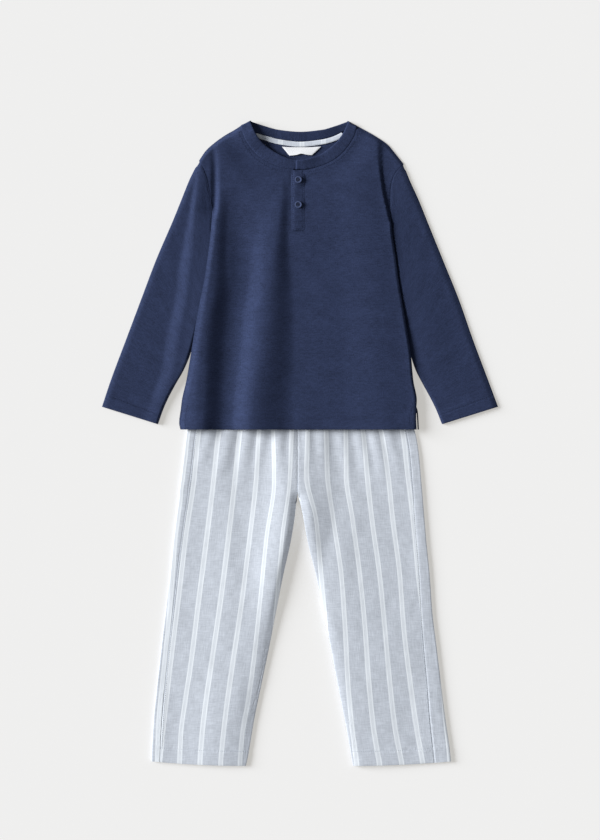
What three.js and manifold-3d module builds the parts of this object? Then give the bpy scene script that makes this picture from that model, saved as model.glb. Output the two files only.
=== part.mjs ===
// Child's pyjama set laid flat: a long-sleeved henley top over striped trousers.
// Millimetres, +Z up, the surface it lies on is z = 0, +Y runs to the neck.
// Left and right are as seen from above. The origin is under the middle of the set.
import * as THREE from 'three';
import { mergeVertices } from 'three/addons/utils/BufferGeometryUtils.js';
import Module from 'manifold-3d';

// Cloth thicknesses and clearances
const JERSEY = 1.4;
const CHAMBRAY = 1.2;
const BAND = 2;
const ELASTIC = 2.4;
const TRIM = 1;
const GAP = 0.3;
const EDGE_GAP = 0.4;

// Heights of the top's back panel above the surface, over what lies under it; the sleeves'
// inner margins lie under it by these shares of its width, and stop short of these levels
const OVER_TROUSERS = 5.7;
const OVER_SLEEVE = 3.5;
const MARGIN_FLAT = 0.09;
const MARGIN_END = 0.18;
const TROUSERS_TOP_Y = 140;
const TROUSERS_FADE = 40;
const SLEEVE_MARGIN_TOP_Y = 372;

// Air under the top's front panel, and how far its sides and shoulders round off
const BODY_LOFT = 2.5;
const NECK_LOFT = 0.8;
const NECK_FLAT = 10;
const NECK_RISE = 34;
const ROLL_WIDTH = 9;
const SHOULDER_ROLL = 6;
const SHOULDER_COSINE = 0.8;
const SHOULDER_SINE = 0.6;
const SEAM_HEIGHT = 2.7;

// Levels along the body
const HEM_Y = 21.6;
const CHEST_Y = 338;
const CREASE_FOOT_Y = 354;
const UNDERARM_Y = 308;
const CUFF_OUTER_Y = 58;
const CUFF_INNER_Y = 30;
const CROTCH_Y = -73.6;
const TROUSER_FOOT_Y = -516;

// Elastic waistband, a flattened ring
const WAISTBAND_TOP_Y = 136;
const WAISTBAND_DEPTH = 27;
const WAISTBAND_HALF_WIDTH = 126;
const WAISTBAND_BEVEL = 2.2;
const WAISTBAND_WALL = 2.6;

// Neckband, the tape inside it and the turn at its corners
const FRONT_BAND_HEIGHT = 3;
const BAND_LAP = 2.3;
const LAP_RAMP = 34;
const BAND_UNDER_END = table(['edgeX', 'edgeY', 'seamX', 'seamY'], [
  [6, 452.6, 6, 437.4],
  [-3, 452.2, -3, 437.1],
]);
const BAND_OVER_END = table(['edgeX', 'edgeY', 'seamX', 'seamY'], [
  [-0.8, 452, -1, 437.2],
  [-6.7, 451.2, -7, 437.4],
]);
const BAND_CORNER_TRIM = 3;
const TAPE_WIDTH = 8;
const TURN_ANGLES = [45, 90, 135];

// Placket and buttons
const SLOT_LEFT = -11;
const SLOT_RIGHT = 5;
const PLACKET_LEFT = -14;
const PLACKET_RIGHT = 8;
const PLACKET_TOP = 436.4;
const PLACKET_FOOT = 336;
const PLACKET_ROWS = 7;
const PLACKET_COLUMNS = 4;
const BUTTON_RADIUS = 5.7;
const BUTTON_HEIGHT = 2.2;
const BUTTON_RIM = 0.72;
const BUTTON_BEVEL = 0.7;
const BUTTON_HOLE_RADIUS = 0.75;
const BUTTON_HOLE_OFFSET = 1.35;
const BUTTON_X = -2.6;
const BUTTON_YS = { upper: 420.8, lower: 380.8 };

// Makes a table's rows into records with named columns.
function table(columns, rows) {
  return rows.map((row) => Object.fromEntries(columns.map((column, i) => [column, row[i]])));
}

// Side edges of the top's front below the chest
const BODY_SIDES = table(['y', 'left', 'right'], [
  [21.6, -191, 185],
  [32, -193, 185.3],
  [56, -190.2, 185.8],
  [68, -188.8, 186.6],
  [100, -181.5, 181],
  [140, -174.6, 177.2],
  [180, -168.2, 171],
  [220, -161, 164],
  [260, -153, 157.2],
  [300, -147.2, 152],
  [338, -142.5, 147],
]);

// Armhole seams from the chest to the shoulder point
const ARMHOLE_LEFT = table(['x', 'y'], [
  [-142.5, 338],
  [-140.8, 366],
  [-143, 386],
  [-146, 404],
  [-149.2, 418],
  [-153.8, 433],
  [-161.6, 451.5],
]);
const ARMHOLE_RIGHT = table(['x', 'y'], [
  [147, 338],
  [145, 362],
  [144.4, 384],
  [144.9, 402.4],
  [147.4, 420],
  [153.6, 432.4],
  [166, 446],
]);

// Line where the body drops to the armhole: the side edge below, a crease above the underarm
const CREASE = table(['y', 'left', 'right'], [
  [354, -141.5, 145.4],
  [378, -137.4, 140.2],
  [405, -136.2, 134.8],
  [438, -136.2, 130.6],
  [476, -139, 128],
]);

// Height of the front panel's underside at that line
const CREASE_HEIGHT = table(['y', 'z'], [
  [21.6, 7.5],
  [68, 7.5],
  [100, 6],
  [140, 6],
  [180, 3.8],
  [338, 3.8],
  [354, 3.2],
  [385, 2],
  [425, 1.9],
  [450, 2.6],
  [476, 4],
]);

// Height of the front panel's underside over the body, before loft and folds
const FRONT_BASE = table(['y', 'z'], [
  [21.6, 7.4],
  [140, 7.4],
  [240, 6.3],
  [340, 5.3],
  [400, 3.3],
  [450, 2.2],
  [516, 1.9],
]);

// Shoulder line, neck to shoulder point
const SHOULDER_LEFT = table(['x', 'y'], [
  [-161.6, 451.5],
  [-151, 467],
  [-141, 476.6],
  [-121.6, 491],
  [-104, 501],
  [-93.8, 507.6],
]);
const SHOULDER_RIGHT = table(['x', 'y'], [
  [90.8, 507.6],
  [102.4, 501.2],
  [120, 491.2],
  [140.8, 476.8],
  [150, 466],
  [166, 446],
]);

// Neckline: the band's seam and its free edge, at the front and at the back
const NECK_SEAM_LEFT = table(['x', 'y'], [
  [-93.8, 507.6],
  [-91.2, 494.4],
  [-80.6, 474.6],
  [-65.6, 457.6],
  [-45.4, 445.6],
  [-27.2, 439.4],
  [-11, 437],
]);
const NECK_SEAM_RIGHT = table(['x', 'y'], [
  [5, 437],
  [26.6, 441],
  [49.6, 450.1],
  [66.2, 462.4],
  [80, 479.2],
  [88, 494.4],
  [90.8, 507.6],
]);
const NECK_EDGE_LEFT = table(['x', 'y'], [
  [-79.4, 514],
  [-74.2, 500.8],
  [-61.6, 481.6],
  [-47.5, 469.9],
  [-32, 460.8],
  [-17, 454.4],
  [-11, 452.8],
]);
const NECK_EDGE_RIGHT = table(['x', 'y'], [
  [5, 452.6],
  [18.9, 456],
  [31.5, 460.8],
  [44.3, 469.3],
  [57.1, 480],
  [69.9, 497.6],
  [77, 514],
]);
const BACK_NECK_SEAM = table(['x', 'y'], [
  [-92, 505.6],
  [-70.4, 496],
  [-52, 490.4],
  [-32, 485.2],
  [0, 481.6],
  [35.2, 485.2],
  [52, 489.6],
  [69.9, 498],
  [89, 505.6],
]);
const BACK_NECK_EDGE = table(['x', 'y'], [
  [-77.6, 513.8],
  [-56, 506.7],
  [-33.6, 500.8],
  [0, 497.6],
  [35.2, 500.8],
  [56, 506.7],
  [75.2, 513.8],
]);

// How far the top's back panel stays inside the front panel's sides; it stands out at the right vent
const BACK_INSET = table(['y', 'left', 'right'], [
  [21.6, 1, -5],
  [56, 1, -5],
  [68, 4, 4],
  [372, 4, 4],
  [400, 0.6, 0.6],
  [452, 5, 5],
]);
const SHOULDER_INSET = 5;

// Lengthwise folds of the front: crest, height and the width of each flank
const FOLD_COLUMNS = ['y', 'x', 'height', 'left', 'right'];
const SIDE_FOLD = table(FOLD_COLUMNS, [
  [21.6, -160, 6, 34, 48],
  [85, -160, 6.2, 26, 46],
  [150, -158, 6, 16, 42],
  [230, -149, 4.8, 10, 31],
  [310, -138, 3.4, 9, 24],
  [374, -129.6, 2, 9, 19],
  [412, -127, 0, 9, 16],
]);
const MIDDLE_FOLD = table(FOLD_COLUMNS, [
  [21.6, -61, 5.8, 38, 34],
  [85, -61, 6.2, 38, 32],
  [149, -58, 6.2, 36, 32],
  [181, -52, 6.2, 36, 36],
  [245, -48, 5.8, 34, 30],
  [277, -46, 5.4, 32, 26],
  [309, -43, 4.8, 30, 23],
  [342, -37, 4, 25, 20],
  [374, -36.5, 2.8, 23, 20],
  [424, -38, 0, 20, 16],
]);
const RIGHT_SWELL = table(FOLD_COLUMNS, [
  [21.6, 128, 1.6, 60, 50],
  [200, 122, 2, 60, 42],
  [380, 100, 1.2, 50, 34],
  [440, 96, 0, 40, 30],
]);
const BODY_FOLDS = [SIDE_FOLD, MIDDLE_FOLD, RIGHT_SWELL];

// Sleeves: outer silhouette and inner edge, which runs under the body above y = 140
const SLEEVE_OUTER = table(['y', 'left', 'right'], [
  [58, -316.8, 316.8],
  [101, -302.4, 300.8],
  [165, -278.4, 276.8],
  [229, -254.4, 254.4],
  [293, -230.4, 228.8],
  [357, -203.2, 203.2],
  [389, -190.4, 190.4],
  [421, -177.6, 176],
  [437, -169.8, 169.6],
  [451.5, -161.9, 163],
]);
const SLEEVE_INNER = table(['y', 'left', 'right'], [
  [30, -227.2, 227.2],
  [56, -217.8, 216.6],
  [75, -209.1, 207],
  [94, -198.9, 196.6],
  [117, -185.8, 184.8],
  [142, -175.4, 176.4],
  [190, -162, 164],
  [240, -147, 150],
  [290, -133, 137],
  [308, -129, 133],
]);
const SLEEVE_LOFT = 1.8;
const SLEEVE_INNER_RISE = 26;
const SLEEVE_OUTER_RISE = 20;
const SLEEVE_SEAM_RISE = 30;
const SLEEVE_FOLD_RISE = 10;
const LEFT_SLEEVE_FOLD = table(FOLD_COLUMNS, [
  [40, -232, 0, 24, 14],
  [85, -220.8, 3.2, 26, 14],
  [149, -207, 3.8, 26, 18],
  [181, -201.6, 3.8, 24, 20],
  [229, -192, 3.8, 22, 20],
  [277, -188.8, 3.4, 18, 20],
  [325, -182.4, 3.2, 14, 20],
  [373, -177.6, 2.8, 9, 18],
  [430, -169.6, 1.2, 6, 14],
  [446, -166, 0, 5, 10],
]);
const RIGHT_SLEEVE_FOLD = table(FOLD_COLUMNS, [
  [60, 262, 0, 34, 30],
  [130, 244, 1.6, 34, 32],
  [250, 204, 1.8, 26, 26],
  [360, 176, 1.4, 20, 18],
  [424, 164, 0, 14, 10],
]);

// Shares of the armhole seam at which the sleeve and the body both have a point
const ARMHOLE_SHARES = [0, 0.045, 0.16, 0.3, 0.44, 0.58, 0.72, 0.86, 1];

// Shares of a sleeve's width, and those of its inner skin's edges; stations along it
const CUFF_SHARES = [0, 0.013, 0.045, 0.15, 0.27, 0.39, 0.5, 0.61, 0.71, 0.81, 0.9, 0.955, 0.987, 1];
const SLIT_SHARES = { 0: 0.022, 1: 0.03, 12: 0.97, 13: 0.978 };
const SLEEVE_STATIONS = [0, 0.06, 0.15, 0.26, 0.37, 0.48, 0.59, 0.7, 0.8, 0.88, 0.95, 1];
const HIDDEN_END_SHARES = [0.35, 0.75, 0.93, 1];
const NEAR_SHOULDER_SHARE = 0.3;
const SEAM_REACH = 0.9;
const BEND_START = 0.35;
const EDGE_ROUND = 0.3;
const SLIT = 0.06;

// Trousers: outer edges, inner edges below the crotch, and how far in each side seam lies
const TROUSERS = table(['y', 'left', 'innerLeft', 'innerRight', 'right', 'seamLeft', 'seamRight'], [
  [108.6, -125, -3.8, -3.4, 126, 14, 14],
  [62, -158, -3.8, -3.4, 161, 14, 14],
  [17.6, -180.8, -3.8, -3.4, 184, 14, 14],
  [-20.8, -185.6, -3.8, -3.4, 190.4, 14, 14],
  [-60, -190.6, -3.8, -3.4, 193.8, 14, 14],
  [-73.6, -192.6, -4.2, -3, 195, 13.8, 14],
  [-90, -193.8, -5.6, -0.6, 196.4, 13.5, 14.5],
  [-116.8, -197.4, -8.4, 4.8, 198.6, 13, 15],
  [-155.2, -202.2, -14.4, 11.6, 201.8, 12.5, 15],
  [-212, -208, -27, 25.6, 207.4, 11, 16.5],
  [-270.4, -214.6, -38.4, 37.6, 211.6, 11, 17.5],
  [-328, -221.6, -49.6, 49.4, 218.6, 11.6, 20.3],
  [-385.6, -228, -61.6, 60, 225.6, 12.4, 22],
  [-443, -233.6, -73.4, 71.6, 232.4, 13.2, 24.5],
  [-500.8, -236.8, -83.2, 82, 240, 13.5, 26],
  [-516, -237.2, -86.4, 84.8, 241.4, 13.5, 26],
]);
const HEM_SLANT = 7;
const SLANT_START_Y = -380;
const LEG_LOFT = 2;
const HIDDEN_LOFT = 0.8;
const LEG_LOFT_FADE = 90;
const LEG_ROLL = 14;
const INNER_EDGE_FADE = 60;
const INSEAM_DROP = 1.2;
const INSEAM_FADE = 24;
const BACK_LEG_INSET = 3.8;
const TROUSER_ROWS = [108.3, 62, 17.6, -20.8, -60, -76, -90, -116.8, -155.2, -212, -270.4, -328, -385.6, -443,
  -500.8, TROUSER_FOOT_Y];
const TROUSER_COLUMNS = 20;
const BACK_FLAT_CELLS = 6;
const BACK_OVER_CELLS = 2;

// Gathers released from the waist: where each starts and where it has died out
const GATHER_COLUMNS = ['topX', 'footX', 'footY', 'height', 'width'];
const GATHERS = table(GATHER_COLUMNS, [
  [-112, -168, -60, 1.5, 13],
  [-92, -136, -96, 1.8, 16],
  [-70, -100, -110, 1.8, 15],
  [-48, -70, -70, 1.5, 12],
  [-28, -38, -84, 1.8, 13],
  [-10, -14, -50, 1.2, 8],
  [10, 12, -60, 1.4, 10],
  [32, 42, -92, 1.8, 14],
  [56, 82, -104, 1.8, 15],
  [80, 112, -84, 1.6, 13],
  [100, 140, -92, 1.7, 13],
  [116, 166, -70, 1.4, 12],
]);
const GATHER_TOP_Y = 108;
const GATHER_FULL_Y = 40;

// Broad soft swells of the legs
const LEFT_LEG_SWELL = table(FOLD_COLUMNS, [
  [-60, -52, 0, 50, 30],
  [-150, -62, 2.2, 60, 40],
  [-300, -86, 2.4, 64, 38],
  [-440, -112, 1.2, 60, 36],
  [-510, -122, 0.6, 60, 36],
]);
const RIGHT_LEG_SWELL = table(FOLD_COLUMNS, [
  [-40, 92, 0, 50, 50],
  [-150, 104, 2, 60, 56],
  [-300, 128, 1.6, 60, 56],
  [-510, 158, 0.6, 60, 50],
]);

// Tape over the back neck seam, in shares of that seam, and the label's upper and lower edge
const TAPE_SHARES = [0.14, 0.26, 0.38, 0.5, 0.62, 0.74, 0.86];
const LABEL_TOP = table(['x', 'y'], [[-28.8, 472.4], [-10, 471.4], [12, 471.4], [34, 472.8]]);
const LABEL_FOOT = table(['x', 'y'], [[-17, 459.6], [-6, 460.8], [9, 461.4], [19.4, 460.4]]);

// Cells along the top edges of the body, and how the columns spread from the slit to the sides
const SHOULDER_CELLS = { left: 8, right: 5 };
const NECK_CELLS = { left: 15, right: 9 };
const BACK_NECK_CELLS = 8;
const EDGE_STRIP = 0.014;
const SHOULDER_STRIP = 0.045;
const RIGHT_SPREAD = 0.85;
const SEAM_PULL = 2.4;
const BACK_CORNER_CUT = 0.3;
const BACK_SHOULDER_MIDDLE = 0.55;

const clamp = THREE.MathUtils.clamp;
const mix = THREE.MathUtils.lerp;
const ease = (share) => THREE.MathUtils.smoothstep(share, 0, 1);

// Slope at a row that keeps the curve free of overshoot.
function rowSlope(rows, key, column, i) {
  const secant = (j) => (rows[j + 1][column] - rows[j][column]) / (rows[j + 1][key] - rows[j][key]);
  if (i === 0) return secant(0);
  if (i === rows.length - 1) return secant(i - 1);
  const before = secant(i - 1);
  const after = secant(i);
  return before * after <= 0 ? 0 : (2 * before * after) / (before + after);
}

// Reads a column of a table at a place along its key, on a smooth curve through the rows.
function read(rows, key, column, at) {
  const rising = rows[rows.length - 1][key] > rows[0][key];
  const place = (row) => (rising ? row[key] : -row[key]);
  const wanted = clamp(rising ? at : -at, place(rows[0]), place(rows[rows.length - 1]));
  let i = 0;
  while (i < rows.length - 2 && place(rows[i + 1]) < wanted) i += 1;
  const span = rows[i + 1][key] - rows[i][key];
  const t = ((rising ? wanted : -wanted) - rows[i][key]) / span;
  const from = rows[i][column];
  const to = rows[i + 1][column];
  const fromSlope = rowSlope(rows, key, column, i) * span;
  const toSlope = rowSlope(rows, key, column, i + 1) * span;
  const t2 = t * t;
  const t3 = t2 * t;
  return (2 * t3 - 3 * t2 + 1) * from + (t3 - 2 * t2 + t) * fromSlope
    + (3 * t2 - 2 * t3) * to + (t3 - t2) * toSlope;
}

// Gives a curve through points a place along its length, so that it can be read at a share of it.
function curveThrough(points) {
  let along = 0;
  const rows = points.map((point, i) => {
    if (i > 0) along += Math.hypot(point.x - points[i - 1].x, point.y - points[i - 1].y);
    return { ...point, along };
  });
  return (share) => ({
    x: read(rows, 'along', 'x', share * along),
    y: read(rows, 'along', 'y', share * along),
  });
}

const armhole = { left: curveThrough(ARMHOLE_LEFT), right: curveThrough(ARMHOLE_RIGHT) };
const shoulder = { left: curveThrough(SHOULDER_LEFT), right: curveThrough(SHOULDER_RIGHT) };
const neckSeam = { left: curveThrough(NECK_SEAM_LEFT), right: curveThrough(NECK_SEAM_RIGHT) };
const neckEdge = { left: curveThrough(NECK_EDGE_LEFT), right: curveThrough(NECK_EDGE_RIGHT) };
const backNeckSeam = curveThrough(BACK_NECK_SEAM);
const backNeckEdge = curveThrough(BACK_NECK_EDGE);

// Height that a fold adds at a point: a soft bump across, its size read along it.
function foldHeight(fold, x, y) {
  const away = x - read(fold, 'y', 'x', y);
  const flank = read(fold, 'y', away < 0 ? 'left' : 'right', y);
  const share = Math.min(1, Math.abs(away) / flank);
  return read(fold, 'y', 'height', y) * (1 - share * share) ** 2;
}

const foldsHeight = (folds, x, y) => folds.reduce((sum, fold) => sum + foldHeight(fold, x, y), 0);

// Underside of the top's back panel; share is the place across the body from 0 to 1.
function backUnder(share, y) {
  const fromSide = Math.min(share, 1 - share);
  const margin = 1 - clamp((fromSide - MARGIN_FLAT) / (MARGIN_END - MARGIN_FLAT), 0, 1);
  const fade = 1 - clamp((y - CHEST_Y) / (SLEEVE_MARGIN_TOP_Y - CHEST_Y), 0, 1);
  const overSleeve = OVER_SLEEVE * margin * fade;
  return mix(OVER_TROUSERS, overSleeve, clamp((y - TROUSERS_TOP_Y) / TROUSERS_FADE, 0, 1));
}

// Distance of a point inside the body's side edge, or inside the crease above it.
function sideDistance(x, y) {
  const rows = y < CREASE_FOOT_Y ? BODY_SIDES : CREASE;
  return Math.min(x - read(rows, 'y', 'left', y), read(rows, 'y', 'right', y) - x);
}

// Distance of a point from the neckline.
function neckDistance(x, y) {
  const seams = [...NECK_SEAM_LEFT, ...NECK_SEAM_RIGHT];
  return Math.min(...seams.map((point) => Math.hypot(point.x - x, point.y - y)));
}

// Distance of a point below the shoulder line, measured square to it.
function shoulderDepth(x, y) {
  const rows = x < 0 ? SHOULDER_LEFT : SHOULDER_RIGHT;
  return SHOULDER_COSINE * (read(rows, 'x', 'y', x) - y);
}

// Underside of the top's front panel.
function frontUnder(x, y) {
  const fromNeck = ease(clamp((neckDistance(x, y) - NECK_FLAT) / NECK_RISE, 0, 1));
  const loft = mix(NECK_LOFT, BODY_LOFT, fromNeck);
  const open = read(FRONT_BASE, 'y', 'z', y) + loft + foldsHeight(BODY_FOLDS, x, y);
  const lineHeight = Math.min(open, read(CREASE_HEIGHT, 'y', 'z', y));
  const inside = sideDistance(x, y);
  let height = mix(lineHeight, open, ease(clamp(inside / ROLL_WIDTH, 0, 1)));
  if (y > CREASE_FOOT_Y && inside < 0) {
    height = mix(lineHeight, SEAM_HEIGHT, ease(clamp(-inside / ROLL_WIDTH, 0, 1)));
  }
  return mix(EDGE_GAP, height, ease(clamp(shoulderDepth(x, y) / SHOULDER_ROLL, 0, 1)));
}

// Underside of a sleeve's upper layer; the body lies on its inner margin.
function sleeveUnder(side, x, y) {
  const sign = side === 'left' ? -1 : 1;
  const bodyEdge = sign * read(y < CREASE_FOOT_Y ? BODY_SIDES : CREASE, 'y', side, y);
  const inner = Math.max(bodyEdge, sign * read(SLEEVE_INNER, 'y', side, y));
  const outer = sign * read(SLEEVE_OUTER, 'y', side, y);
  const rise = (distance, width) => ease(clamp(distance / width, 0, 1));
  const fromInner = rise(sign * x - inner, SLEEVE_INNER_RISE);
  const fromOuter = rise(outer - sign * x, SLEEVE_OUTER_RISE);
  const atSeam = (SEAM_HEIGHT - JERSEY - GAP) * rise(y - CREASE_FOOT_Y, SLEEVE_SEAM_RISE);
  const fold = foldHeight(side === 'left' ? LEFT_SLEEVE_FOLD : RIGHT_SLEEVE_FOLD, x, y);
  const room = rise(sign * x - inner, SLEEVE_FOLD_RISE) * rise(outer - sign * x, SLEEVE_FOLD_RISE);
  const loft = Math.max(SLEEVE_LOFT * fromInner, atSeam) * fromOuter;
  return JERSEY + GAP + loft + fold * room;
}

// Underside of the trousers' upper layer.
function trouserUnder(side, x, y) {
  const outer = Math.abs(read(TROUSERS, 'y', side, y) - x);
  const inner = Math.abs(read(TROUSERS, 'y', side === 'left' ? 'innerLeft' : 'innerRight', y) - x);
  const below = ease(clamp((CROTCH_Y - y) / INNER_EDGE_FADE, 0, 1));
  const edges = ease(clamp(outer / LEG_ROLL, 0, 1)) * mix(1, ease(clamp(inner / LEG_ROLL, 0, 1)), below);
  const loft = mix(HIDDEN_LOFT, LEG_LOFT, ease(clamp((HEM_Y - y) / LEG_LOFT_FADE, 0, 1)));
  const swell = foldHeight(side === 'left' ? LEFT_LEG_SWELL : RIGHT_LEG_SWELL, x, y);
  const gathers = GATHERS.reduce((sum, gather) => sum + gatherHeight(gather, x, y), 0);
  return CHAMBRAY + GAP + (loft + swell + gathers) * edges;
}

// Height that a gather adds at a point; it fades out towards its foot.
function gatherHeight(gather, x, y) {
  const down = clamp((GATHER_FULL_Y - y) / (GATHER_FULL_Y - gather.footY), 0, 1);
  const spread = (GATHER_TOP_Y - y) / (GATHER_TOP_Y - gather.footY);
  const away = x - mix(gather.topX, gather.footX, spread);
  const share = Math.min(1, Math.abs(away) / gather.width);
  return gather.height * (1 - ease(down)) * (1 - share * share) ** 2;
}

// Turns loose triangles into a geometry, facing outwards.
function solidFrom(triangles) {
  let volume = 0;
  const cross = new THREE.Vector3();
  triangles.forEach(([a, b, c]) => {
    volume += a.dot(cross.crossVectors(b, c));
  });
  const facing = volume < 0 ? triangles.map(([a, b, c]) => [a, c, b]) : triangles;
  const positions = facing.flatMap((corners) => corners.flatMap((point) => [point.x, point.y, point.z]));
  const geometry = new THREE.BufferGeometry();
  geometry.setAttribute('position', new THREE.Float32BufferAttribute(positions, 3));
  geometry.computeVertexNormals();
  return geometry;
}

function addQuad(triangles, a, b, c, d) {
  triangles.push([a, b, c], [a, c, d]);
}

// A sheet of cloth between two skins on the same grid; cells where isOpen says so are left out.
function sheet(upper, lower, isOpen = () => false) {
  const triangles = [];
  const columns = upper.length - 1;
  const rows = upper[0].length - 1;
  const missing = (i, j) => i < 0 || j < 0 || i >= columns || j >= rows || isOpen(i, j);
  for (let i = 0; i < columns; i += 1) {
    for (let j = 0; j < rows; j += 1) {
      if (missing(i, j)) continue;
      const corners = [[i, j], [i + 1, j], [i + 1, j + 1], [i, j + 1]];
      const neighbours = [[i, j - 1], [i + 1, j], [i, j + 1], [i - 1, j]];
      addQuad(triangles, ...corners.map(([p, q]) => upper[p][q]));
      addQuad(triangles, ...corners.map(([p, q]) => lower[p][q]).reverse());
      neighbours.forEach(([p, q], edge) => {
        if (!missing(p, q)) return;
        const [a, b] = corners[edge];
        const [c, d] = corners[(edge + 1) % 4];
        addQuad(triangles, upper[c][d], upper[a][b], lower[a][b], lower[c][d]);
      });
    }
  }
  return solidFrom(triangles);
}

// A tube of cloth open at both ends, from loops along it.
function tube(outer, inner) {
  const triangles = [];
  const last = outer.length - 1;
  const count = outer[0].length;
  for (let k = 0; k < count; k += 1) {
    const next = (k + 1) % count;
    for (let j = 0; j < last; j += 1) {
      addQuad(triangles, outer[j][k], outer[j][next], outer[j + 1][next], outer[j + 1][k]);
      addQuad(triangles, inner[j][k], inner[j + 1][k], inner[j + 1][next], inner[j][next]);
    }
    addQuad(triangles, outer[0][next], outer[0][k], inner[0][k], inner[0][next]);
    addQuad(triangles, outer[last][k], outer[last][next], inner[last][next], inner[last][k]);
  }
  return solidFrom(triangles);
}

// A flat-lying sheet: its grid of places, the height of its underside, and its thickness.
function laidSheet(grid, under, thickness, isOpen) {
  const skin = (lift) => grid.map((column, i) => column.map((place, j) => (
    new THREE.Vector3(place.x, place.y, under(place, i, j) + lift)
  )));
  return sheet(skin(thickness), skin(0), isOpen);
}

// Even steps from 0 to 1.
const steps = (count) => [...Array(count + 1).keys()].map((i) => i / count);

// Point of an armhole seam, moved inwards.
function seamInset(side, v, insetAt) {
  const seam = armhole[side](v);
  return { x: seam.x + (side === 'left' ? 1 : -1) * insetAt(side, seam.y), y: seam.y };
}

// Grid of a body panel: straight rows up to the chest, then rows that bend to the shoulders and neck.
function bodyGrid(shares, topPoints, insetAt) {
  const lowerRows = BODY_SIDES.map((row) => row.y);
  const sidePoint = (side, y) => {
    const sign = side === 'left' ? 1 : -1;
    return read(BODY_SIDES, 'y', side, y) + sign * insetAt(side, y);
  };
  const upperRows = [...ARMHOLE_SHARES].reverse().slice(1);
  const corners = { left: topPoints[0], right: topPoints[topPoints.length - 1] };
  const sideCurve = (side, v) => seamInset(side, v, insetAt);
  return shares.map((share, i) => {
    const column = lowerRows.map((y) => ({
      x: mix(sidePoint('left', y), sidePoint('right', y), share),
      y,
      share,
    }));
    const chest = column[column.length - 1];
    const top = topPoints[i];
    upperRows.forEach((fromShoulder) => {
      const v = 1 - fromShoulder;
      const place = { x: mix(chest.x, top.x, v), y: mix(chest.y, top.y, v), share };
      const pull = {
        left: clamp(1 - SEAM_PULL * share, 0, 1),
        right: clamp(1 - SEAM_PULL * (1 - share), 0, 1),
      };
      for (const side of ['left', 'right']) {
        const seam = sideCurve(side, v);
        place.x += pull[side] * (seam.x - mix(sidePoint(side, CHEST_Y), corners[side].x, v));
        place.y += pull[side] * (seam.y - mix(CHEST_Y, corners[side].y, v));
      }
      column.push(place);
    });
    return column;
  });
}

// Share of the chest's width at a place across it.
function chestShare(x) {
  const chest = BODY_SIDES[BODY_SIDES.length - 1];
  return (x - chest.left) / (chest.right - chest.left);
}

// The front panel's columns: shares across the body, and points along its top edge.
function frontColumns() {
  const leftCells = SHOULDER_CELLS.left + NECK_CELLS.left;
  const rightCells = SHOULDER_CELLS.right + NECK_CELLS.right;
  const slot = [SLOT_LEFT, SLOT_RIGHT].map(chestShare);
  const left = steps(leftCells - 1).map((t) => mix(EDGE_STRIP, slot[0], t));
  const right = steps(rightCells - 1).map((t) => mix(slot[1], 1 - EDGE_STRIP, t ** RIGHT_SPREAD));
  const top = [
    shoulder.left(0),
    ...steps(SHOULDER_CELLS.left - 1).map((t) => shoulder.left(mix(SHOULDER_STRIP, 1, t))),
    ...steps(NECK_CELLS.left).slice(1).map((t) => neckSeam.left(t)),
    ...steps(NECK_CELLS.right).map((t) => neckSeam.right(t)),
    ...steps(SHOULDER_CELLS.right - 1).slice(1).map((t) => shoulder.right(t * (1 - SHOULDER_STRIP))),
    shoulder.right(1),
  ];
  return { shares: [0, ...left, ...right, 1], top };
}

// The front panel, slit down from the neck for the placket.
function frontPanel() {
  const { shares, top } = frontColumns();
  const grid = bodyGrid(shares, top, () => 0);
  const slotColumn = SHOULDER_CELLS.left + NECK_CELLS.left;
  const slotRow = BODY_SIDES.length - 1;
  const inSlot = (i, j) => i === slotColumn && j >= slotRow;
  return laidSheet(grid, (place) => frontUnder(place.x, place.y), JERSEY, inSlot);
}

// A point moved by a distance towards another.
function moved(from, towards, distance) {
  const length = Math.hypot(towards.x - from.x, towards.y - from.y);
  const share = distance / length;
  return { x: mix(from.x, towards.x, share), y: mix(from.y, towards.y, share) };
}

// The back panel, between the shoulder seams and cut out for the back of the neckband.
function backPanel() {
  const neck = steps(BACK_NECK_CELLS).map((t) => moved(backNeckSeam(t), backNeckEdge(t), -EDGE_GAP));
  const cutCorner = (corner, next) => ({
    x: mix(corner.x, next.x, BACK_CORNER_CUT),
    y: mix(corner.y, next.y, BACK_CORNER_CUT),
  });
  neck[0] = cutCorner(neck[0], neck[1]);
  neck[BACK_NECK_CELLS] = cutCorner(neck[BACK_NECK_CELLS], neck[BACK_NECK_CELLS - 1]);
  const inward = (point, sign) => ({
    x: point.x + sign * SHOULDER_INSET * SHOULDER_SINE,
    y: point.y - SHOULDER_INSET * SHOULDER_COSINE,
  });
  const shareList = [0, MARGIN_FLAT, MARGIN_END];
  const middle = steps(BACK_NECK_CELLS).slice(1, -1).map((t) => mix(MARGIN_END, 1 - MARGIN_END, t));
  const shares = [...shareList, ...middle, ...shareList.map((share) => 1 - share).reverse()];
  const insetAt = (side, y) => read(BACK_INSET, 'y', side, y);
  const top = [
    seamInset('left', 1, insetAt),
    inward(shoulder.left(BACK_SHOULDER_MIDDLE), 1),
    ...neck,
    inward(shoulder.right(1 - BACK_SHOULDER_MIDDLE), -1),
    seamInset('right', 1, insetAt),
  ];
  const grid = bodyGrid(shares, top, insetAt);
  return laidSheet(grid, (place) => backUnder(place.share, place.y), JERSEY);
}

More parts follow.
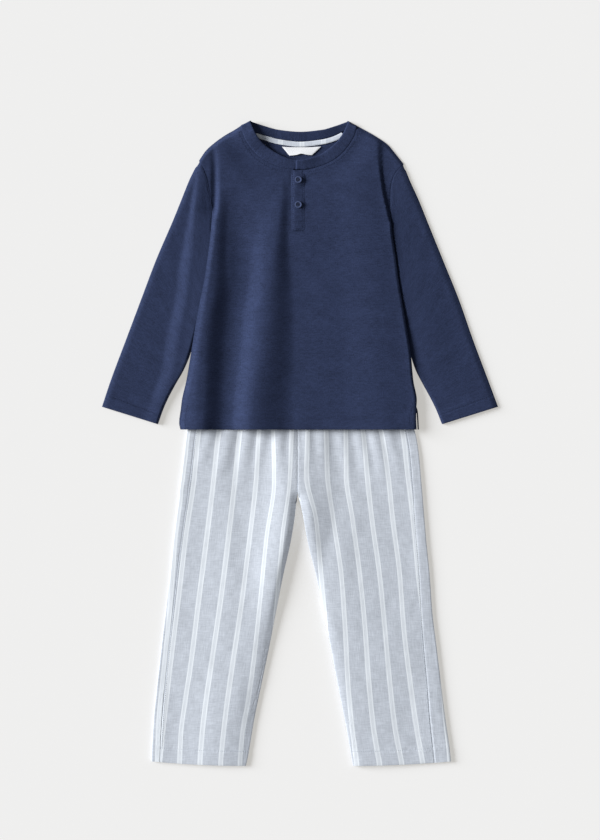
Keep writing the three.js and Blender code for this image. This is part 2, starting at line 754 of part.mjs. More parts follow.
// One sleeve: a flattened tube from cuff to armhole, its inner margin under the body.
function sleeve(side) {
  const sign = side === 'left' ? -1 : 1;
  const underarm = { x: read(SLEEVE_INNER, 'y', side, UNDERARM_Y), y: UNDERARM_Y };
  const seamStart = armhole[side](0);
  const seamPoints = ARMHOLE_SHARES.map((share) => {
    const point = armhole[side](1 - share);
    return { x: point.x + sign * GAP, y: point.y };
  });
  const hidden = HIDDEN_END_SHARES.map((t) => ({
    x: mix(seamStart.x + sign * GAP, underarm.x, t),
    y: mix(seamStart.y, underarm.y, t),
  }));
  const nearShoulder = {
    x: mix(seamPoints[0].x, seamPoints[1].x, NEAR_SHOULDER_SHARE),
    y: mix(seamPoints[0].y, seamPoints[1].y, NEAR_SHOULDER_SHARE),
  };
  const end = [seamPoints[0], nearShoulder, ...seamPoints.slice(1), ...hidden];
  const place = (k, v, share) => {
    const outerY = mix(CUFF_OUTER_Y, end[0].y, v);
    const innerY = mix(CUFF_INNER_Y, underarm.y, v);
    const atSeam = ease(clamp((v - SEAM_REACH) / (1 - SEAM_REACH), 0, 1));
    const outerX = mix(read(SLEEVE_OUTER, 'y', side, outerY), end[0].x, atSeam);
    const innerX = read(SLEEVE_INNER, 'y', side, innerY);
    const bend = ease(clamp((v - BEND_START) / (1 - BEND_START), 0, 1));
    return {
      x: mix(outerX, innerX, share) + bend * (end[k].x - mix(end[0].x, underarm.x, CUFF_SHARES[k])),
      y: mix(outerY, innerY, share) + bend * (end[k].y - mix(end[0].y, underarm.y, CUFF_SHARES[k])),
    };
  };
  const last = CUFF_SHARES.length - 1;
  const middle = JERSEY + GAP / 2;
  const isEdge = (k) => k === 0 || k === last;
  const isBeside = (k) => k === 1 || k === last - 1;
  const heights = {
    top: (k, at) => {
      if (isEdge(k)) return middle;
      return sleeveUnder(side, at.x, at.y) + JERSEY - (isBeside(k) ? EDGE_ROUND : 0);
    },
    foot: (k) => (isBeside(k) ? EDGE_ROUND : 0),
    ceiling: (k, at) => {
      if (isEdge(k)) return middle;
      return isBeside(k) ? middle + SLIT : sleeveUnder(side, at.x, at.y);
    },
    floor: (k) => (isBeside(k) ? middle - SLIT : JERSEY),
  };
  const upward = [...CUFF_SHARES.keys()];
  const downward = upward.slice(1, -1).reverse();
  const loop = (v, shareAt, over, below) => {
    const point = (k, height) => {
      const at = place(k, v, shareAt(k));
      return new THREE.Vector3(at.x, at.y, height(k, at));
    };
    return [...upward.map((k) => point(k, over)), ...downward.map((k) => point(k, below))];
  };
  const outer = SLEEVE_STATIONS.map((v) => loop(v, (k) => CUFF_SHARES[k], heights.top, heights.foot));
  const slitShare = (k) => SLIT_SHARES[k] ?? CUFF_SHARES[k];
  const inner = SLEEVE_STATIONS.map((v) => loop(v, slitShare, heights.ceiling, heights.floor));
  return tube(outer, inner);
}

// The neckband: one strip from its lower end, round the back of the neck, to its lapped end.
function neckband() {
  const front = FRONT_BAND_HEIGHT + BAND / 2;
  const back = BAND / 2;
  const turnRadius = (front - back) / 2;
  const stations = [];
  const add = (edge, seam, z, normal) => stations.push({ edge, seam, z, normal });
  const upwards = new THREE.Vector3(0, 0, 1);
  const downwards = new THREE.Vector3(0, 0, -1);
  const addEnd = (row, z) => {
    add({ x: row.edgeX, y: row.edgeY }, { x: row.seamX, y: row.seamY }, z, upwards);
  };
  BAND_UNDER_END.forEach((row) => addEnd(row, front));
  steps(NECK_CELLS.left).reverse().forEach((t) => {
    const seam = neckSeam.left(t);
    const edge = neckEdge.left(t);
    add(edge, moved(seam, edge, t === 0 ? BAND_CORNER_TRIM : EDGE_GAP), front, upwards);
  });
  addTurn(stations, -1, turnRadius, back + turnRadius);
  steps(BACK_NECK_CELLS).forEach((t) => add(backNeckEdge(t), backNeckSeam(t), back, downwards));
  addTurn(stations, 1, turnRadius, back + turnRadius);
  steps(NECK_CELLS.right).reverse().forEach((t) => {
    const seam = neckSeam.right(t);
    const edge = neckEdge.right(t);
    const lift = BAND_LAP * (1 - ease(clamp((seam.x - PLACKET_RIGHT) / LAP_RAMP, 0, 1)));
    add(edge, moved(seam, edge, t === 1 ? BAND_CORNER_TRIM : EDGE_GAP), front + lift, upwards);
  });
  BAND_OVER_END.forEach((row) => addEnd(row, front + BAND_LAP));
  const skin = (side) => steps(3).map((across) => stations.map((station) => new THREE.Vector3(
    mix(station.edge.x, station.seam.x, across),
    mix(station.edge.y, station.seam.y, across),
    station.z,
  ).addScaledVector(station.normal, side * BAND / 2)));
  return sheet(skin(1), skin(-1));
}

// Stations of the half turn at a corner of the neck, between the front and the back of the band.
function addTurn(stations, sign, radius, middle) {
  const edge = sign < 0 ? backNeckEdge(0) : backNeckEdge(1);
  const seam = sign < 0 ? backNeckSeam(0) : backNeckSeam(1);
  const along = new THREE.Vector3(seam.x - edge.x, seam.y - edge.y, 0).normalize();
  const outward = new THREE.Vector3(sign * Math.abs(along.y), Math.abs(along.x), 0);
  const angles = sign < 0 ? TURN_ANGLES : [...TURN_ANGLES].reverse();
  angles.forEach((angle) => {
    const turn = THREE.MathUtils.degToRad(angle);
    const shift = outward.clone().multiplyScalar(radius * Math.sin(turn));
    stations.push({
      edge: { x: edge.x + shift.x, y: edge.y + shift.y },
      seam: { x: seam.x + shift.x, y: seam.y + shift.y },
      z: middle + radius * Math.cos(turn),
      normal: new THREE.Vector3(0, 0, Math.cos(turn)).addScaledVector(outward, Math.sin(turn)),
    });
  });
}

// Tape over the back neck seam.
function neckTape() {
  const under = JERSEY + GAP;
  const grid = [0, 0.5, 1].map((across) => TAPE_SHARES.map((t) => (
    moved(backNeckSeam(t), backNeckEdge(t), -2 * EDGE_GAP - across * TAPE_WIDTH)
  )));
  return laidSheet(grid, () => under, TRIM);
}

// Label below the tape, folded in at both sides.
function neckLabel() {
  const grid = steps(3).map((t, i) => steps(2).map((down) => ({
    x: mix(LABEL_FOOT[i].x, LABEL_TOP[i].x, down),
    y: mix(LABEL_FOOT[i].y, LABEL_TOP[i].y, down),
  })));
  return laidSheet(grid, () => JERSEY + GAP, TRIM);
}

// A placket strip: the under strip fills the slit, the over strip covers it.
function placketStrip(left, right, foot, lift) {
  const rows = steps(PLACKET_ROWS).map((t) => mix(foot, PLACKET_TOP, t));
  const grid = steps(PLACKET_COLUMNS).map((t) => rows.map((y) => ({ x: mix(left, right, t), y })));
  return laidSheet(grid, (place) => frontUnder(place.x, place.y) + lift, JERSEY);
}

// Height on which a button sits: the over strip's face at its highest under the button.
function buttonSeat(y) {
  const reach = BUTTON_RADIUS * Math.SQRT1_2;
  const corners = [-reach, reach].flatMap((across) => [-reach, reach].map((along) => [across, along]));
  const faces = corners.map(([across, along]) => frontUnder(BUTTON_X + across, y + along));
  return Math.max(...faces) + 2 * JERSEY + EDGE_GAP + GAP;
}

// A four-hole button with a raised rim.
async function buttonGeometry() {
  const wasm = await Module();
  wasm.setup();
  const rim = BUTTON_RADIUS * BUTTON_RIM;
  const well = BUTTON_HEIGHT - BUTTON_BEVEL;
  const profile = [
    [0, 0], [BUTTON_RADIUS * 0.8, 0], [BUTTON_RADIUS, BUTTON_BEVEL], [BUTTON_RADIUS, well],
    [BUTTON_RADIUS * 0.92, BUTTON_HEIGHT], [rim, BUTTON_HEIGHT], [rim * 0.9, well], [0, well],
  ].map(([x, y]) => new THREE.Vector2(x, y));
  const disc = new THREE.LatheGeometry(profile, 24).rotateX(Math.PI / 2);
  let body = asManifold(wasm, disc);
  [0, 1, 2, 3].forEach((quarter) => {
    const angle = (quarter + 0.5) * Math.PI / 2;
    const hole = new THREE.CylinderGeometry(BUTTON_HOLE_RADIUS, BUTTON_HOLE_RADIUS, 4 * BUTTON_HEIGHT, 8)
      .rotateX(Math.PI / 2)
      .translate(BUTTON_HOLE_OFFSET * Math.cos(angle), BUTTON_HOLE_OFFSET * Math.sin(angle), 0);
    body = body.subtract(asManifold(wasm, hole));
  });
  const mesh = body.getMesh();
  const geometry = new THREE.BufferGeometry();
  geometry.setAttribute('position', new THREE.Float32BufferAttribute(mesh.vertProperties, 3));
  geometry.setIndex([...mesh.triVerts]);
  geometry.computeVertexNormals();
  return geometry;
}

// A solid for cutting, from a closed geometry.
function asManifold(wasm, source) {
  const plain = source.clone();
  plain.deleteAttribute('normal');
  plain.deleteAttribute('uv');
  const merged = mergeVertices(plain, 1e-4);
  return new wasm.Manifold(new wasm.Mesh({
    numProp: 3,
    vertProperties: Float32Array.from(merged.attributes.position.array),
    triVerts: Uint32Array.from(merged.index.array),
  }));
}

// A leg's rows slant up towards the outer edge near the hem.
function slanted(y, fromOuter) {
  const near = ease(clamp((SLANT_START_Y - y) / (SLANT_START_Y - TROUSER_FOOT_Y), 0, 1));
  return y + near * HEM_SLANT * (1 - fromOuter) ** 2;
}

// Sign of a leg's side and the names of its columns.
const legSide = (side) => (side === 'left'
  ? { sign: -1, inner: 'innerLeft', seam: 'seamLeft' }
  : { sign: 1, inner: 'innerRight', seam: 'seamRight' });

const belowCrotch = (y) => ease(clamp((CROTCH_Y - y) / INSEAM_FADE, 0, 1));

// Front of a leg, from its side seam to the centre seam or the inseam.
function trouserFront(side) {
  const { sign, inner, seam } = legSide(side);
  const grid = steps(TROUSER_COLUMNS).map((share) => TROUSER_ROWS.map((y) => {
    const outerX = read(TROUSERS, 'y', side, y);
    const innerX = read(TROUSERS, 'y', inner, y);
    const seamX = outerX - sign * read(TROUSERS, 'y', seam, y);
    const x = mix(seamX, innerX, share);
    return { x, y: slanted(y, (x - outerX) / (innerX - outerX)), share, row: y };
  }));
  const under = (place) => {
    const drop = place.share === 1 ? INSEAM_DROP * belowCrotch(place.row) : 0;
    return trouserUnder(side, place.x, place.row) - drop;
  };
  return laidSheet(grid, under, CHAMBRAY);
}

// Back of a leg: flat on the surface, round the outer edge and over to the side seam.
function trouserBack(side) {
  const { sign, inner, seam } = legSide(side);
  const radius = (CHAMBRAY + GAP) / 2;
  const centreZ = CHAMBRAY + GAP / 2;
  const path = (y) => {
    const outerX = read(TROUSERS, 'y', side, y);
    const innerX = read(TROUSERS, 'y', inner, y) + sign * BACK_LEG_INSET * belowCrotch(y);
    const seamInset = read(TROUSERS, 'y', seam, y) - GAP;
    const turnX = outerX - sign * (radius + CHAMBRAY / 2);
    const flat = steps(BACK_FLAT_CELLS).map((t) => ({
      x: mix(innerX, turnX, t),
      z: CHAMBRAY / 2,
      nx: 0,
      nz: -1,
    }));
    const turn = [-45, 0, 45].map((degrees) => {
      const angle = THREE.MathUtils.degToRad(degrees);
      const nx = sign * Math.cos(angle);
      const nz = Math.sin(angle);
      return { x: turnX + radius * nx, z: centreZ + radius * nz, nx, nz };
    });
    const over = steps(BACK_OVER_CELLS).map((t) => {
      const x = mix(turnX, outerX - sign * seamInset, t);
      return { x, z: trouserUnder(side, x, y) + CHAMBRAY / 2, nx: 0, nz: 1 };
    });
    return [...flat, ...turn, ...over].map((point) => ({
      ...point,
      y: slanted(y, (point.x - outerX) / (read(TROUSERS, 'y', inner, y) - outerX)),
    }));
  };
  const paths = TROUSER_ROWS.map(path);
  const skin = (face) => [...paths[0].keys()].map((i) => paths.map((points) => {
    const point = points[i];
    const lift = face * CHAMBRAY / 2;
    return new THREE.Vector3(point.x + lift * point.nx, point.y, point.z + lift * point.nz);
  }));
  return sheet(skin(1), skin(-1));
}

// The waistband: a loop of elastic cloth, pressed flat.
function waistband() {
  const rows = [WAISTBAND_TOP_Y - WAISTBAND_DEPTH, WAISTBAND_TOP_Y];
  const span = steps(8).map((t) => mix(-1, 1, t));
  const loop = (y, edge, low, high) => {
    const xs = span.map((t) => t * (WAISTBAND_HALF_WIDTH - edge));
    const middle = ELASTIC + GAP / 2;
    const flatXs = xs.slice(1, -1);
    const start = new THREE.Vector3(xs[0], y, middle);
    const finish = new THREE.Vector3(xs[xs.length - 1], y, middle);
    const near = (end, z) => new THREE.Vector3(end.x - Math.sign(end.x) * WAISTBAND_BEVEL, y, z);
    return [
      start,
      near(start, high),
      ...flatXs.map((x) => new THREE.Vector3(x, y, high)),
      near(finish, high),
      finish,
      near(finish, low),
      ...[...flatXs].reverse().map((x) => new THREE.Vector3(x, y, low)),
      near(start, low),
    ];
  };
  const outer = rows.map((y) => loop(y, 0, 0, 2 * ELASTIC + GAP));
  const inner = rows.map((y) => loop(y, WAISTBAND_WALL, ELASTIC, ELASTIC + GAP));
  return tube(outer, inner);
}

const material = (color, roughness) => new THREE.MeshStandardMaterial({ color, roughness, metalness: 0 });
const navyJersey = () => material('#33405f', 0.9);
const stripedChambray = () => material('#bcc6d4', 0.85);
const navyPlastic = () => material('#38425c', 0.4);
const whiteSatin = () => material('#f2f2f0', 0.6);
const stripedTape = () => material('#c9d6e4', 0.85);

const group = new THREE.Group();

function addPiece(name, geometry, surface) {
  const mesh = new THREE.Mesh(geometry, surface);
  mesh.name = name;
  group.add(mesh);
  return mesh;
}

addPiece('top_front', frontPanel(), navyJersey());
addPiece('top_back', backPanel(), navyJersey());
addPiece('top_sleeve_left', sleeve('left'), navyJersey());
addPiece('top_sleeve_right', sleeve('right'), navyJersey());
addPiece('top_neckband', neckband(), navyJersey());
addPiece('top_neck_tape', neckTape(), stripedTape());
addPiece('top_neck_label', neckLabel(), whiteSatin());

const underStrip = placketStrip(SLOT_LEFT + GAP, SLOT_RIGHT - GAP, CHEST_Y + GAP, 0);
const overStrip = placketStrip(PLACKET_LEFT, PLACKET_RIGHT, PLACKET_FOOT, JERSEY + EDGE_GAP);
addPiece('top_placket_under', underStrip, navyJersey());
addPiece('top_placket_over', overStrip, navyJersey());

const buttonShape = await buttonGeometry();
Object.entries(BUTTON_YS).forEach(([name, y]) => {
  const button = addPiece(`top_button_${name}`, buttonShape.clone(), navyPlastic());
  button.position.set(BUTTON_X, y, buttonSeat(y));
});

['left', 'right'].forEach((side) => {
  addPiece(`trouser_front_${side}`, trouserFront(side), stripedChambray());
  addPiece(`trouser_back_${side}`, trouserBack(side), stripedChambray());
});
addPiece('trouser_waistband', waistband(), stripedChambray());

export default group;
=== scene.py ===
"""A child's pyjama set laid flat: a navy henley top over striped chambray trousers.

Lengths in the tables are millimetres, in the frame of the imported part; meshes are made in metres.
Left and right are as seen from above.
"""

import math

import bmesh
import bpy
import numpy as np
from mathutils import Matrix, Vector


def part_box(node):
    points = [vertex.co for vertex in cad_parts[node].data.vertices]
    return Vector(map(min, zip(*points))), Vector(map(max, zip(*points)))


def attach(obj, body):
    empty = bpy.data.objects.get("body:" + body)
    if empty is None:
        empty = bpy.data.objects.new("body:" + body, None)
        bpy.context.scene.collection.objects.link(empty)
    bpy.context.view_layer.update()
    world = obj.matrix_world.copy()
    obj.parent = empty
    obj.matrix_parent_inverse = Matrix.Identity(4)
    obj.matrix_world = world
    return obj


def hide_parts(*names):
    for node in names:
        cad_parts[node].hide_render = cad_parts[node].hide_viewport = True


bl_info = {
    "name": "Pyjama set",
    "version": (1, 0, 0),
    "blender": (4, 5, 0),
    "location": "View3D > Sidebar > Pyjama set",
    "description": "A henley top laid over striped trousers, with its stage",
    "category": "Add Mesh",
}

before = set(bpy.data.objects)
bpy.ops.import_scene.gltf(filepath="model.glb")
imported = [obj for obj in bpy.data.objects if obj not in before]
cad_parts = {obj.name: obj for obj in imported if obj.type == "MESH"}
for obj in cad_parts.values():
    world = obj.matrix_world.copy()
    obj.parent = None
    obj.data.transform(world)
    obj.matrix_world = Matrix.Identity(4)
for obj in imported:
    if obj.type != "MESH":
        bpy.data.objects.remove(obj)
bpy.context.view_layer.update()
MM = 0.001

SIDES = ("left", "right")

# Cloth thicknesses of the solids, and the thinner ones of the cloth itself
JERSEY = 1.4
CHAMBRAY = 1.2
BAND = 2.0
ELASTIC = 2.4
TRIM = 1.0
JERSEY_CLOTH = 0.9
SLEEVE_CLOTH = 0.81
CHAMBRAY_CLOTH = 0.6
WAISTBAND_CLOTH = 1.4
TAPE_CLOTH = 0.8
LABEL_CLOTH = 0.5
GAP = 0.3
EDGE_GAP = 0.4
LYING_HEIGHT = 0.05
BACK_CLEARANCE = 0.1

# Heights of the top's back panel over what lies under it
OVER_TROUSERS = 5.7
OVER_SLEEVE = 3.5
MARGIN_FLAT = 0.09
MARGIN_END = 0.18
TROUSERS_TOP_Y = 140
TROUSERS_FADE = 40
SLEEVE_MARGIN_TOP_Y = 372

# Air under the top's front panel, and how far its sides and shoulders round off
BODY_LOFT = 3.5
NECK_LOFT = 0.8
NECK_FLAT = 10
NECK_RISE = 34
ROLL_WIDTHS = {"left": 8, "right": 3}
SHOULDER_ROLL = 6
SHOULDER_COSINE = 0.8
SHOULDER_SINE = 0.6
SEAM_HEIGHTS = {"left": 4.4, "right": 2.7}
NECK_LIFT = {"x": -80, "y": 508, "height": 9, "reach": 50}
SHOULDER_LIFT = 0.5

# Levels along the body
HEM_Y = 21.6
HEM_DEPTH = 21.5
VENT_TOP_Y = 61
CHEST_Y = 338
CREASE_FOOT_Y = 354
UNDERARM_Y = 308
CUFF_OUTER_Y = 58
CUFF_INNER_Y = 30
CUFF_HEM = 20
SLEEVE_LENGTH = 405
CROTCH_Y = -73.6
TROUSER_FOOT_Y = -516
TROUSER_HEM_Y = -493

# Waistband, neckband and placket
WAISTBAND_TOP_Y = 136
WAISTBAND_DEPTH = 27
WAISTBAND_HALF_WIDTH = 126
WAISTBAND_ROWS = (0, 0.03, 0.12, 0.3, 0.36, 0.62, 0.68, 0.9, 0.97, 1)
WAISTBAND_STITCHED_ROWS = (3, 6)
FRONT_BAND_HEIGHT = 3
BAND_GIRTH = 30
BAND_LAP = 1.1
LAP_RAMP = 34
BAND_CORNER_TRIM = 0.5
BAND_OVERLAP = 1.2
BAND_SETTLE = 0.75
BACK_LIFT = 0.3
BACK_BAND_TILT = 3.5
FRONT_BAND_TILT = {"left": 3.4, "right": 0.8}
BAND_END_YS = (452.6, 437.2)
LAP_EDGE = ((5, 452.6), (-6.7, 451.2))
LAP_SEAM = ((5, 437.1), (-7, 437.4))
TURN_ANGLES = (20, 45, 70, 90, 110, 135, 160)
BAND_SECTION = (
    (1.0, -0.35), (0.985, 0.35), (0.94, 0.86), (0.86, 1.02), (0.7, 1.08), (0.5, 1.1), (0.3, 1.08),
    (0.16, 1.0), (0.07, 0.84), (0.02, 0.5), (0.0, 0.0), (0.02, -0.5), (0.07, -0.84), (0.2, -1.0),
    (0.5, -1.0), (0.8, -1.0), (0.95, -0.9),
)
TAPE_WIDTH = 8
TAPE_SHARES = (0.13, 0.87)
TAPE_ROWS = (0, 0.08, 0.3, 0.5, 0.7, 0.92, 1)
TAPE_OVERLAP = 0.2
TAPE_REPEAT = 0.0342
SLOT_LEFT = -11
SLOT_RIGHT = 5
PLACKET_LEFT = -14
PLACKET_RIGHT = 8
PLACKET_FOOT = 339.2
PLACKET_TOP = 436.4
PLACKET_BOX_YS = (352.9, 341.5)
PLACKET_SIDE_YS = (339, 388, 434)
PLACKET_GROOVE = 0.25
PLACKET_FOLD = 1.3
PLACKET_FOLD_WIDTH = 4.6
PLACKET_SETTLE = {"all": 0.6, "right": 1, "top": 0.9}
PLACKET_SETTLE_WIDTHS = {"start": 6, "right": 15, "top": 9}
BUTTON_X = -2.6
BUTTON_YS = {"upper": 420.8, "lower": 380.8}
BUTTON_RADIUS = 5.7
BUTTON_MOUNDS = {"upper": 1.6, "lower": 0.7}
MOUND_SLOPE = 10

# Crossed thread of a button: half its reach, and its path across the middle, in metres
THREAD_RADIUS = 0.00034
THREAD_REACH = 0.00095
THREAD_SINK = 0.0007
THREAD_PATH = ((-1, -0.0012), (-0.9, 0.0001), (0, 0.00035), (0.9, 0.0001), (1, -0.0012))

# Cells of the front's grid between its corners, and how its columns and rows are drawn to the seams
LEFT_CELLS = 22
RIGHT_CELLS = 13
SHOULDER_CELLS_LEFT = 7
NECK_CELLS_RIGHT = 9
FINER_CELLS = 3
EDGE_STRIP = 0.014
SHOULDER_STRIP = 0.045
RIGHT_SPREAD = 0.85
SEAM_PULL = 2.4

# How the back panel meets the neckband and the vents
BACK_NECK_SHARES = (0.0375, 0.9625)
BACK_SHOULDER_MIDDLE = 0.55
NECK_TUCK = 1
VENT_GAP = (0.9905, 0.9945)
VENT_GAP_TOP_Y = 50
ARMHOLE_TUCK = 0.8

# How far cloth sinks beside a seam or an edge, and over what width
ARMHOLE_DROP = (0.25, 3)
NECK_DROP = (0.1, 2)
BODY_SIDE_DROP = (0.9, 3)
HEM_DROP = (0.5, 1.6)
PLACKET_DROP = (0.3, 1.2)
SIDE_SEAM_DROP = (0.1, 2)
CENTRE_SEAM_DROP = (0.3, 3)
LEG_HEM_DROP = (0.4, 1.5)

# Extra height of the turned hems, and the width of the step at their stitched line
HEM_HEIGHTS = {"front": 0.55, "back": 0.1225, "cuff": 0.45, "trousers": 0.4}
HEM_STEP_WIDTH = 1.6

# Stitches: their thread, and how deep each row of them lies in the cloth
STITCH_LENGTH = 2.4
STITCH_SPACING = 3.3
STITCH_WIDTH = 0.32
STITCH_LIFT = 0.12
STITCH_TIP_SINK = 0.15
STITCH_RINGS = ((-0.42, 0.7), (0, 1), (0.42, 0.7))
STITCH_SINKS = {"front": 0.1, "placket": 0.15, "sleeve": -0.1, "trousers": 0.05}
NECK_STITCH_OFFSET = 5.2
HEM_ROW_SPACING = 2.4
BESIDE_SEAM = 1.6
FAR_FROM_SEAM = 60

# Millimetres from a seam over which its groove and its puckers fade
GROOVE_FADE = (0.2, 1.3)
PUCKER_FADE = (1.5, 8)

# Edges of cloth split the smooth shading above these angles
CLOTH_SPLIT = math.radians(55)
BUTTON_SPLIT = math.radians(35)

# Weave: spacing of the jersey's wales and heights of the relief, in metres, and each stripe's half widths
WALE_SPACING = 0.0011
JERSEY_RELIEF = 0.00035
CHAMBRAY_RELIEF = 0.0003
SATIN_RELIEF = 0.0001
PLASTIC_RELIEF = 0.00004
THREAD_RELIEF = 0.00008
STRIPE_EDGE = (3.7, 4.3)
STRIPE_CORE = (1.7, 2.3)

# Stage, in metres
FLOOR_REACH = 12.0
FLOOR_DROP = 0.0002
PICTURE_HEIGHT = 1.344
CAMERA_Y = 0.0368
SENSOR = 36
KEY_TURN = math.radians(-14)
KEY_SPREAD = math.radians(32)
KEY_COLOR = (1.0, 0.99, 0.975)
SKY_COLOR = (0.99, 0.995, 1.0, 1)


def smooth(share):
    """Eases from 0 to 1, flat at both ends."""
    share = np.clip(share, 0, 1)
    return share * share * (3 - 2 * share)


def rounded(distance, radius):
    """0 at an edge, rising on a quarter circle to 1."""
    return np.sqrt(1 - (1 - np.clip(distance / radius, 0, 1)) ** 2)


def mix(start, end, share):
    """Value between two others."""
    return start + (end - start) * share


class Profile:
    """Named columns of a table, read on a smooth curve through its rows."""

    def __init__(self, columns, rows):
        data = np.array(sorted(rows), float)
        self.key = data[:, 0]
        self.values = dict(zip(columns[1:], data[:, 1:].T))
        self.slopes = {name: self.row_slopes(column) for name, column in self.values.items()}

    def row_slopes(self, column):
        """Slopes at the rows that keep the curve free of overshoot."""
        secant = np.diff(column) / np.diff(self.key)
        before, after = secant[:-1], secant[1:]
        same = before * after > 0
        inner = np.where(same, 2 * before * after / np.where(same, before + after, 1), 0)
        return np.concatenate([secant[:1], inner, secant[-1:]])

    def at(self, name, where):
        """Value of a column at a place along the key."""
        where = np.clip(where, self.key[0], self.key[-1])
        row = np.clip(np.searchsorted(self.key, where, side="right") - 1, 0, len(self.key) - 2)
        span = self.key[row + 1] - self.key[row]
        t = (where - self.key[row]) / span
        start, end = self.values[name][row], self.values[name][row + 1]
        rise, fall = self.slopes[name][row] * span, self.slopes[name][row + 1] * span
        return (
            (2 * t**3 - 3 * t**2 + 1) * start
            + (t**3 - 2 * t**2 + t) * rise
            + (3 * t**2 - 2 * t**3) * end
            + (t**3 - t**2) * fall
        )


class Line:
    """A smooth line through points, read at a share of its length."""

    def __init__(self, points):
        x, y = np.array(points, float).T
        along = np.concatenate([[0], np.cumsum(np.hypot(np.diff(x), np.diff(y)))])
        self.length = along[-1]
        self.curve = Profile(("along", "x", "y"), list(zip(along, x, y)))

    def at(self, share):
        """Points at shares of the length."""
        where = np.asarray(share, float) * self.length
        return np.stack([self.curve.at("x", where), self.curve.at("y", where)], axis=-1)


# Side edges of the top's front below the chest
BODY_SIDES = Profile(("y", "left", "right"), [
    (21.6, -191, 185),
    (32, -193, 185.3),
    (56, -190.2, 185.8),
    (68, -188.8, 186.6),
    (100, -181.5, 181),
    (140, -174.6, 177.2),
    (180, -168.2, 171),
    (220, -161, 164),
    (260, -153, 157.2),
    (300, -147.2, 152),
    (338, -142.5, 147),
])

# Armhole seams from the chest to the shoulder point
ARMHOLES = {
    "left": Line([
        (-142.5, 338), (-140.8, 366), (-143, 386), (-146, 404),
        (-149.2, 418), (-153.8, 433), (-161.6, 451.5),
    ]),
    "right": Line([
        (147, 338), (145, 362), (144.4, 384), (144.9, 402.4),
        (147.4, 420), (153.6, 432.4), (166, 446),
    ]),
}

# Line where the body drops to the armhole, and the height of the front's underside along it
CREASE = Profile(("y", "left", "right"), [
    (354, -141.5, 145.4),
    (378, -137.4, 140.2),
    (405, -136.2, 134.8),
    (438, -136.2, 130.6),
    (476, -139, 128),
])
CREASE_HEIGHT = Profile(("y", "left", "right"), [
    (21.6, 7.5, 9.6),
    (68, 7.5, 9.6),
    (100, 8.6, 9.4),
    (140, 10.4, 9.4),
    (180, 11.4, 9.4),
    (245, 11.4, 9.2),
    (290, 10.6, 9),
    (320, 9.6, 8),
    (338, 8.8, 6.6),
    (354, 6.4, 4.6),
    (385, 2.4, 2),
    (425, 2, 1.9),
    (450, 2.8, 2.6),
    (476, 4, 4),
])
FRONT_BASE = Profile(("y", "z"), [
    (21.6, 7.4), (140, 7.4), (240, 6.3), (340, 5.3), (400, 3.3), (450, 2.2), (516, 1.9),
])

# Shoulder lines, from left to right
SHOULDER_POINTS = {
    "left": [(-161.6, 451.5), (-151, 467), (-141, 476.6), (-121.6, 491), (-104, 501), (-93.8, 507.6)],
    "right": [(90.8, 507.6), (102.4, 501.2), (120, 491.2), (140.8, 476.8), (150, 466), (166, 446)],
}
SHOULDERS = {side: Line(points) for side, points in SHOULDER_POINTS.items()}
SHOULDER_HEIGHTS = {side: Profile(("x", "y"), points) for side, points in SHOULDER_POINTS.items()}

# Neckline: the band's seam and its free edge, at the front and at the back
NECK_SEAMS = {
    "left": Line([
        (-93.8, 507.6), (-91.2, 494.4), (-80.6, 474.6), (-65.6, 457.6),
        (-45.4, 445.6), (-27.2, 439.4), (-11, 437),
    ]),
    "right": Line([
        (5, 437), (26.6, 441), (49.6, 450.1), (66.2, 462.4), (80, 479.2), (88, 494.4), (90.8, 507.6),
    ]),
}
NECK_EDGES = {
    "left": Line([
        (-79.4, 514), (-74.2, 500.8), (-61.6, 481.6), (-47.5, 469.9),
        (-32, 460.8), (-17, 454.4), (-11, 452.8),
    ]),
    "right": Line([
        (5, 452.6), (18.9, 456), (31.5, 460.8), (44.3, 469.3), (57.1, 480), (69.9, 497.6), (77, 514),
    ]),
}
BACK_NECK_SEAM = Line([
    (-92, 505.6), (-70.4, 496), (-52, 490.4), (-32, 485.2), (0, 481.6),
    (35.2, 485.2), (52, 489.6), (69.9, 498), (89, 505.6),
])
BACK_NECK_EDGE = Line([
    (-77.6, 513.8), (-56, 506.7), (-33.6, 500.8), (0, 497.6), (35.2, 500.8), (56, 506.7), (75.2, 513.8),
])
NECK_POINTS = [tuple(p) for side in SIDES for p in NECK_SEAMS[side].at(np.linspace(0, 1, 14))]
ARMHOLE_LINES = [ARMHOLES[side].at(np.linspace(0, 1, 30)) for side in SIDES]
NECK_LINES = [NECK_SEAMS[side].at(np.linspace(0, 1, 40)) for side in SIDES]

# Stitched lines beside the front's vents, and the label's upper and lower edge
FRONT_VENT_LEFT = [(-181.5, HEM_Y + 0.5), (-183.5, 32), (-181.8, 50), (-180.2, VENT_TOP_Y)]
FRONT_VENT_RIGHT = [(174.2, HEM_Y + 0.5), (175, 34), (177.4, 50), (181, VENT_TOP_Y + 1)]
LABEL_TOP = Profile(("share", "x", "y"), [
    (0, -28.8, 473.8), (0.33, -10, 473), (0.67, 12, 473), (1, 34, 474.2),
])
LABEL_FOOT = Profile(("share", "x", "y"), [
    (0, -17, 459.6), (0.3, -6, 460.6), (0.5, 2, 462.8), (0.7, 10, 461.2), (1, 19.4, 460.2),
])

# How far the top's back stays inside the front's sides; it stands out at the right vent
BACK_INSET = Profile(("y", "left", "right"), [
    (21.6, 1, -5), (52, 1, -2.4), (60, 2, 1), (68, 4, 4), (372, 4, 4), (400, 0.6, 0.6), (452, 5, 5),
])
SHOULDER_INSET = 5

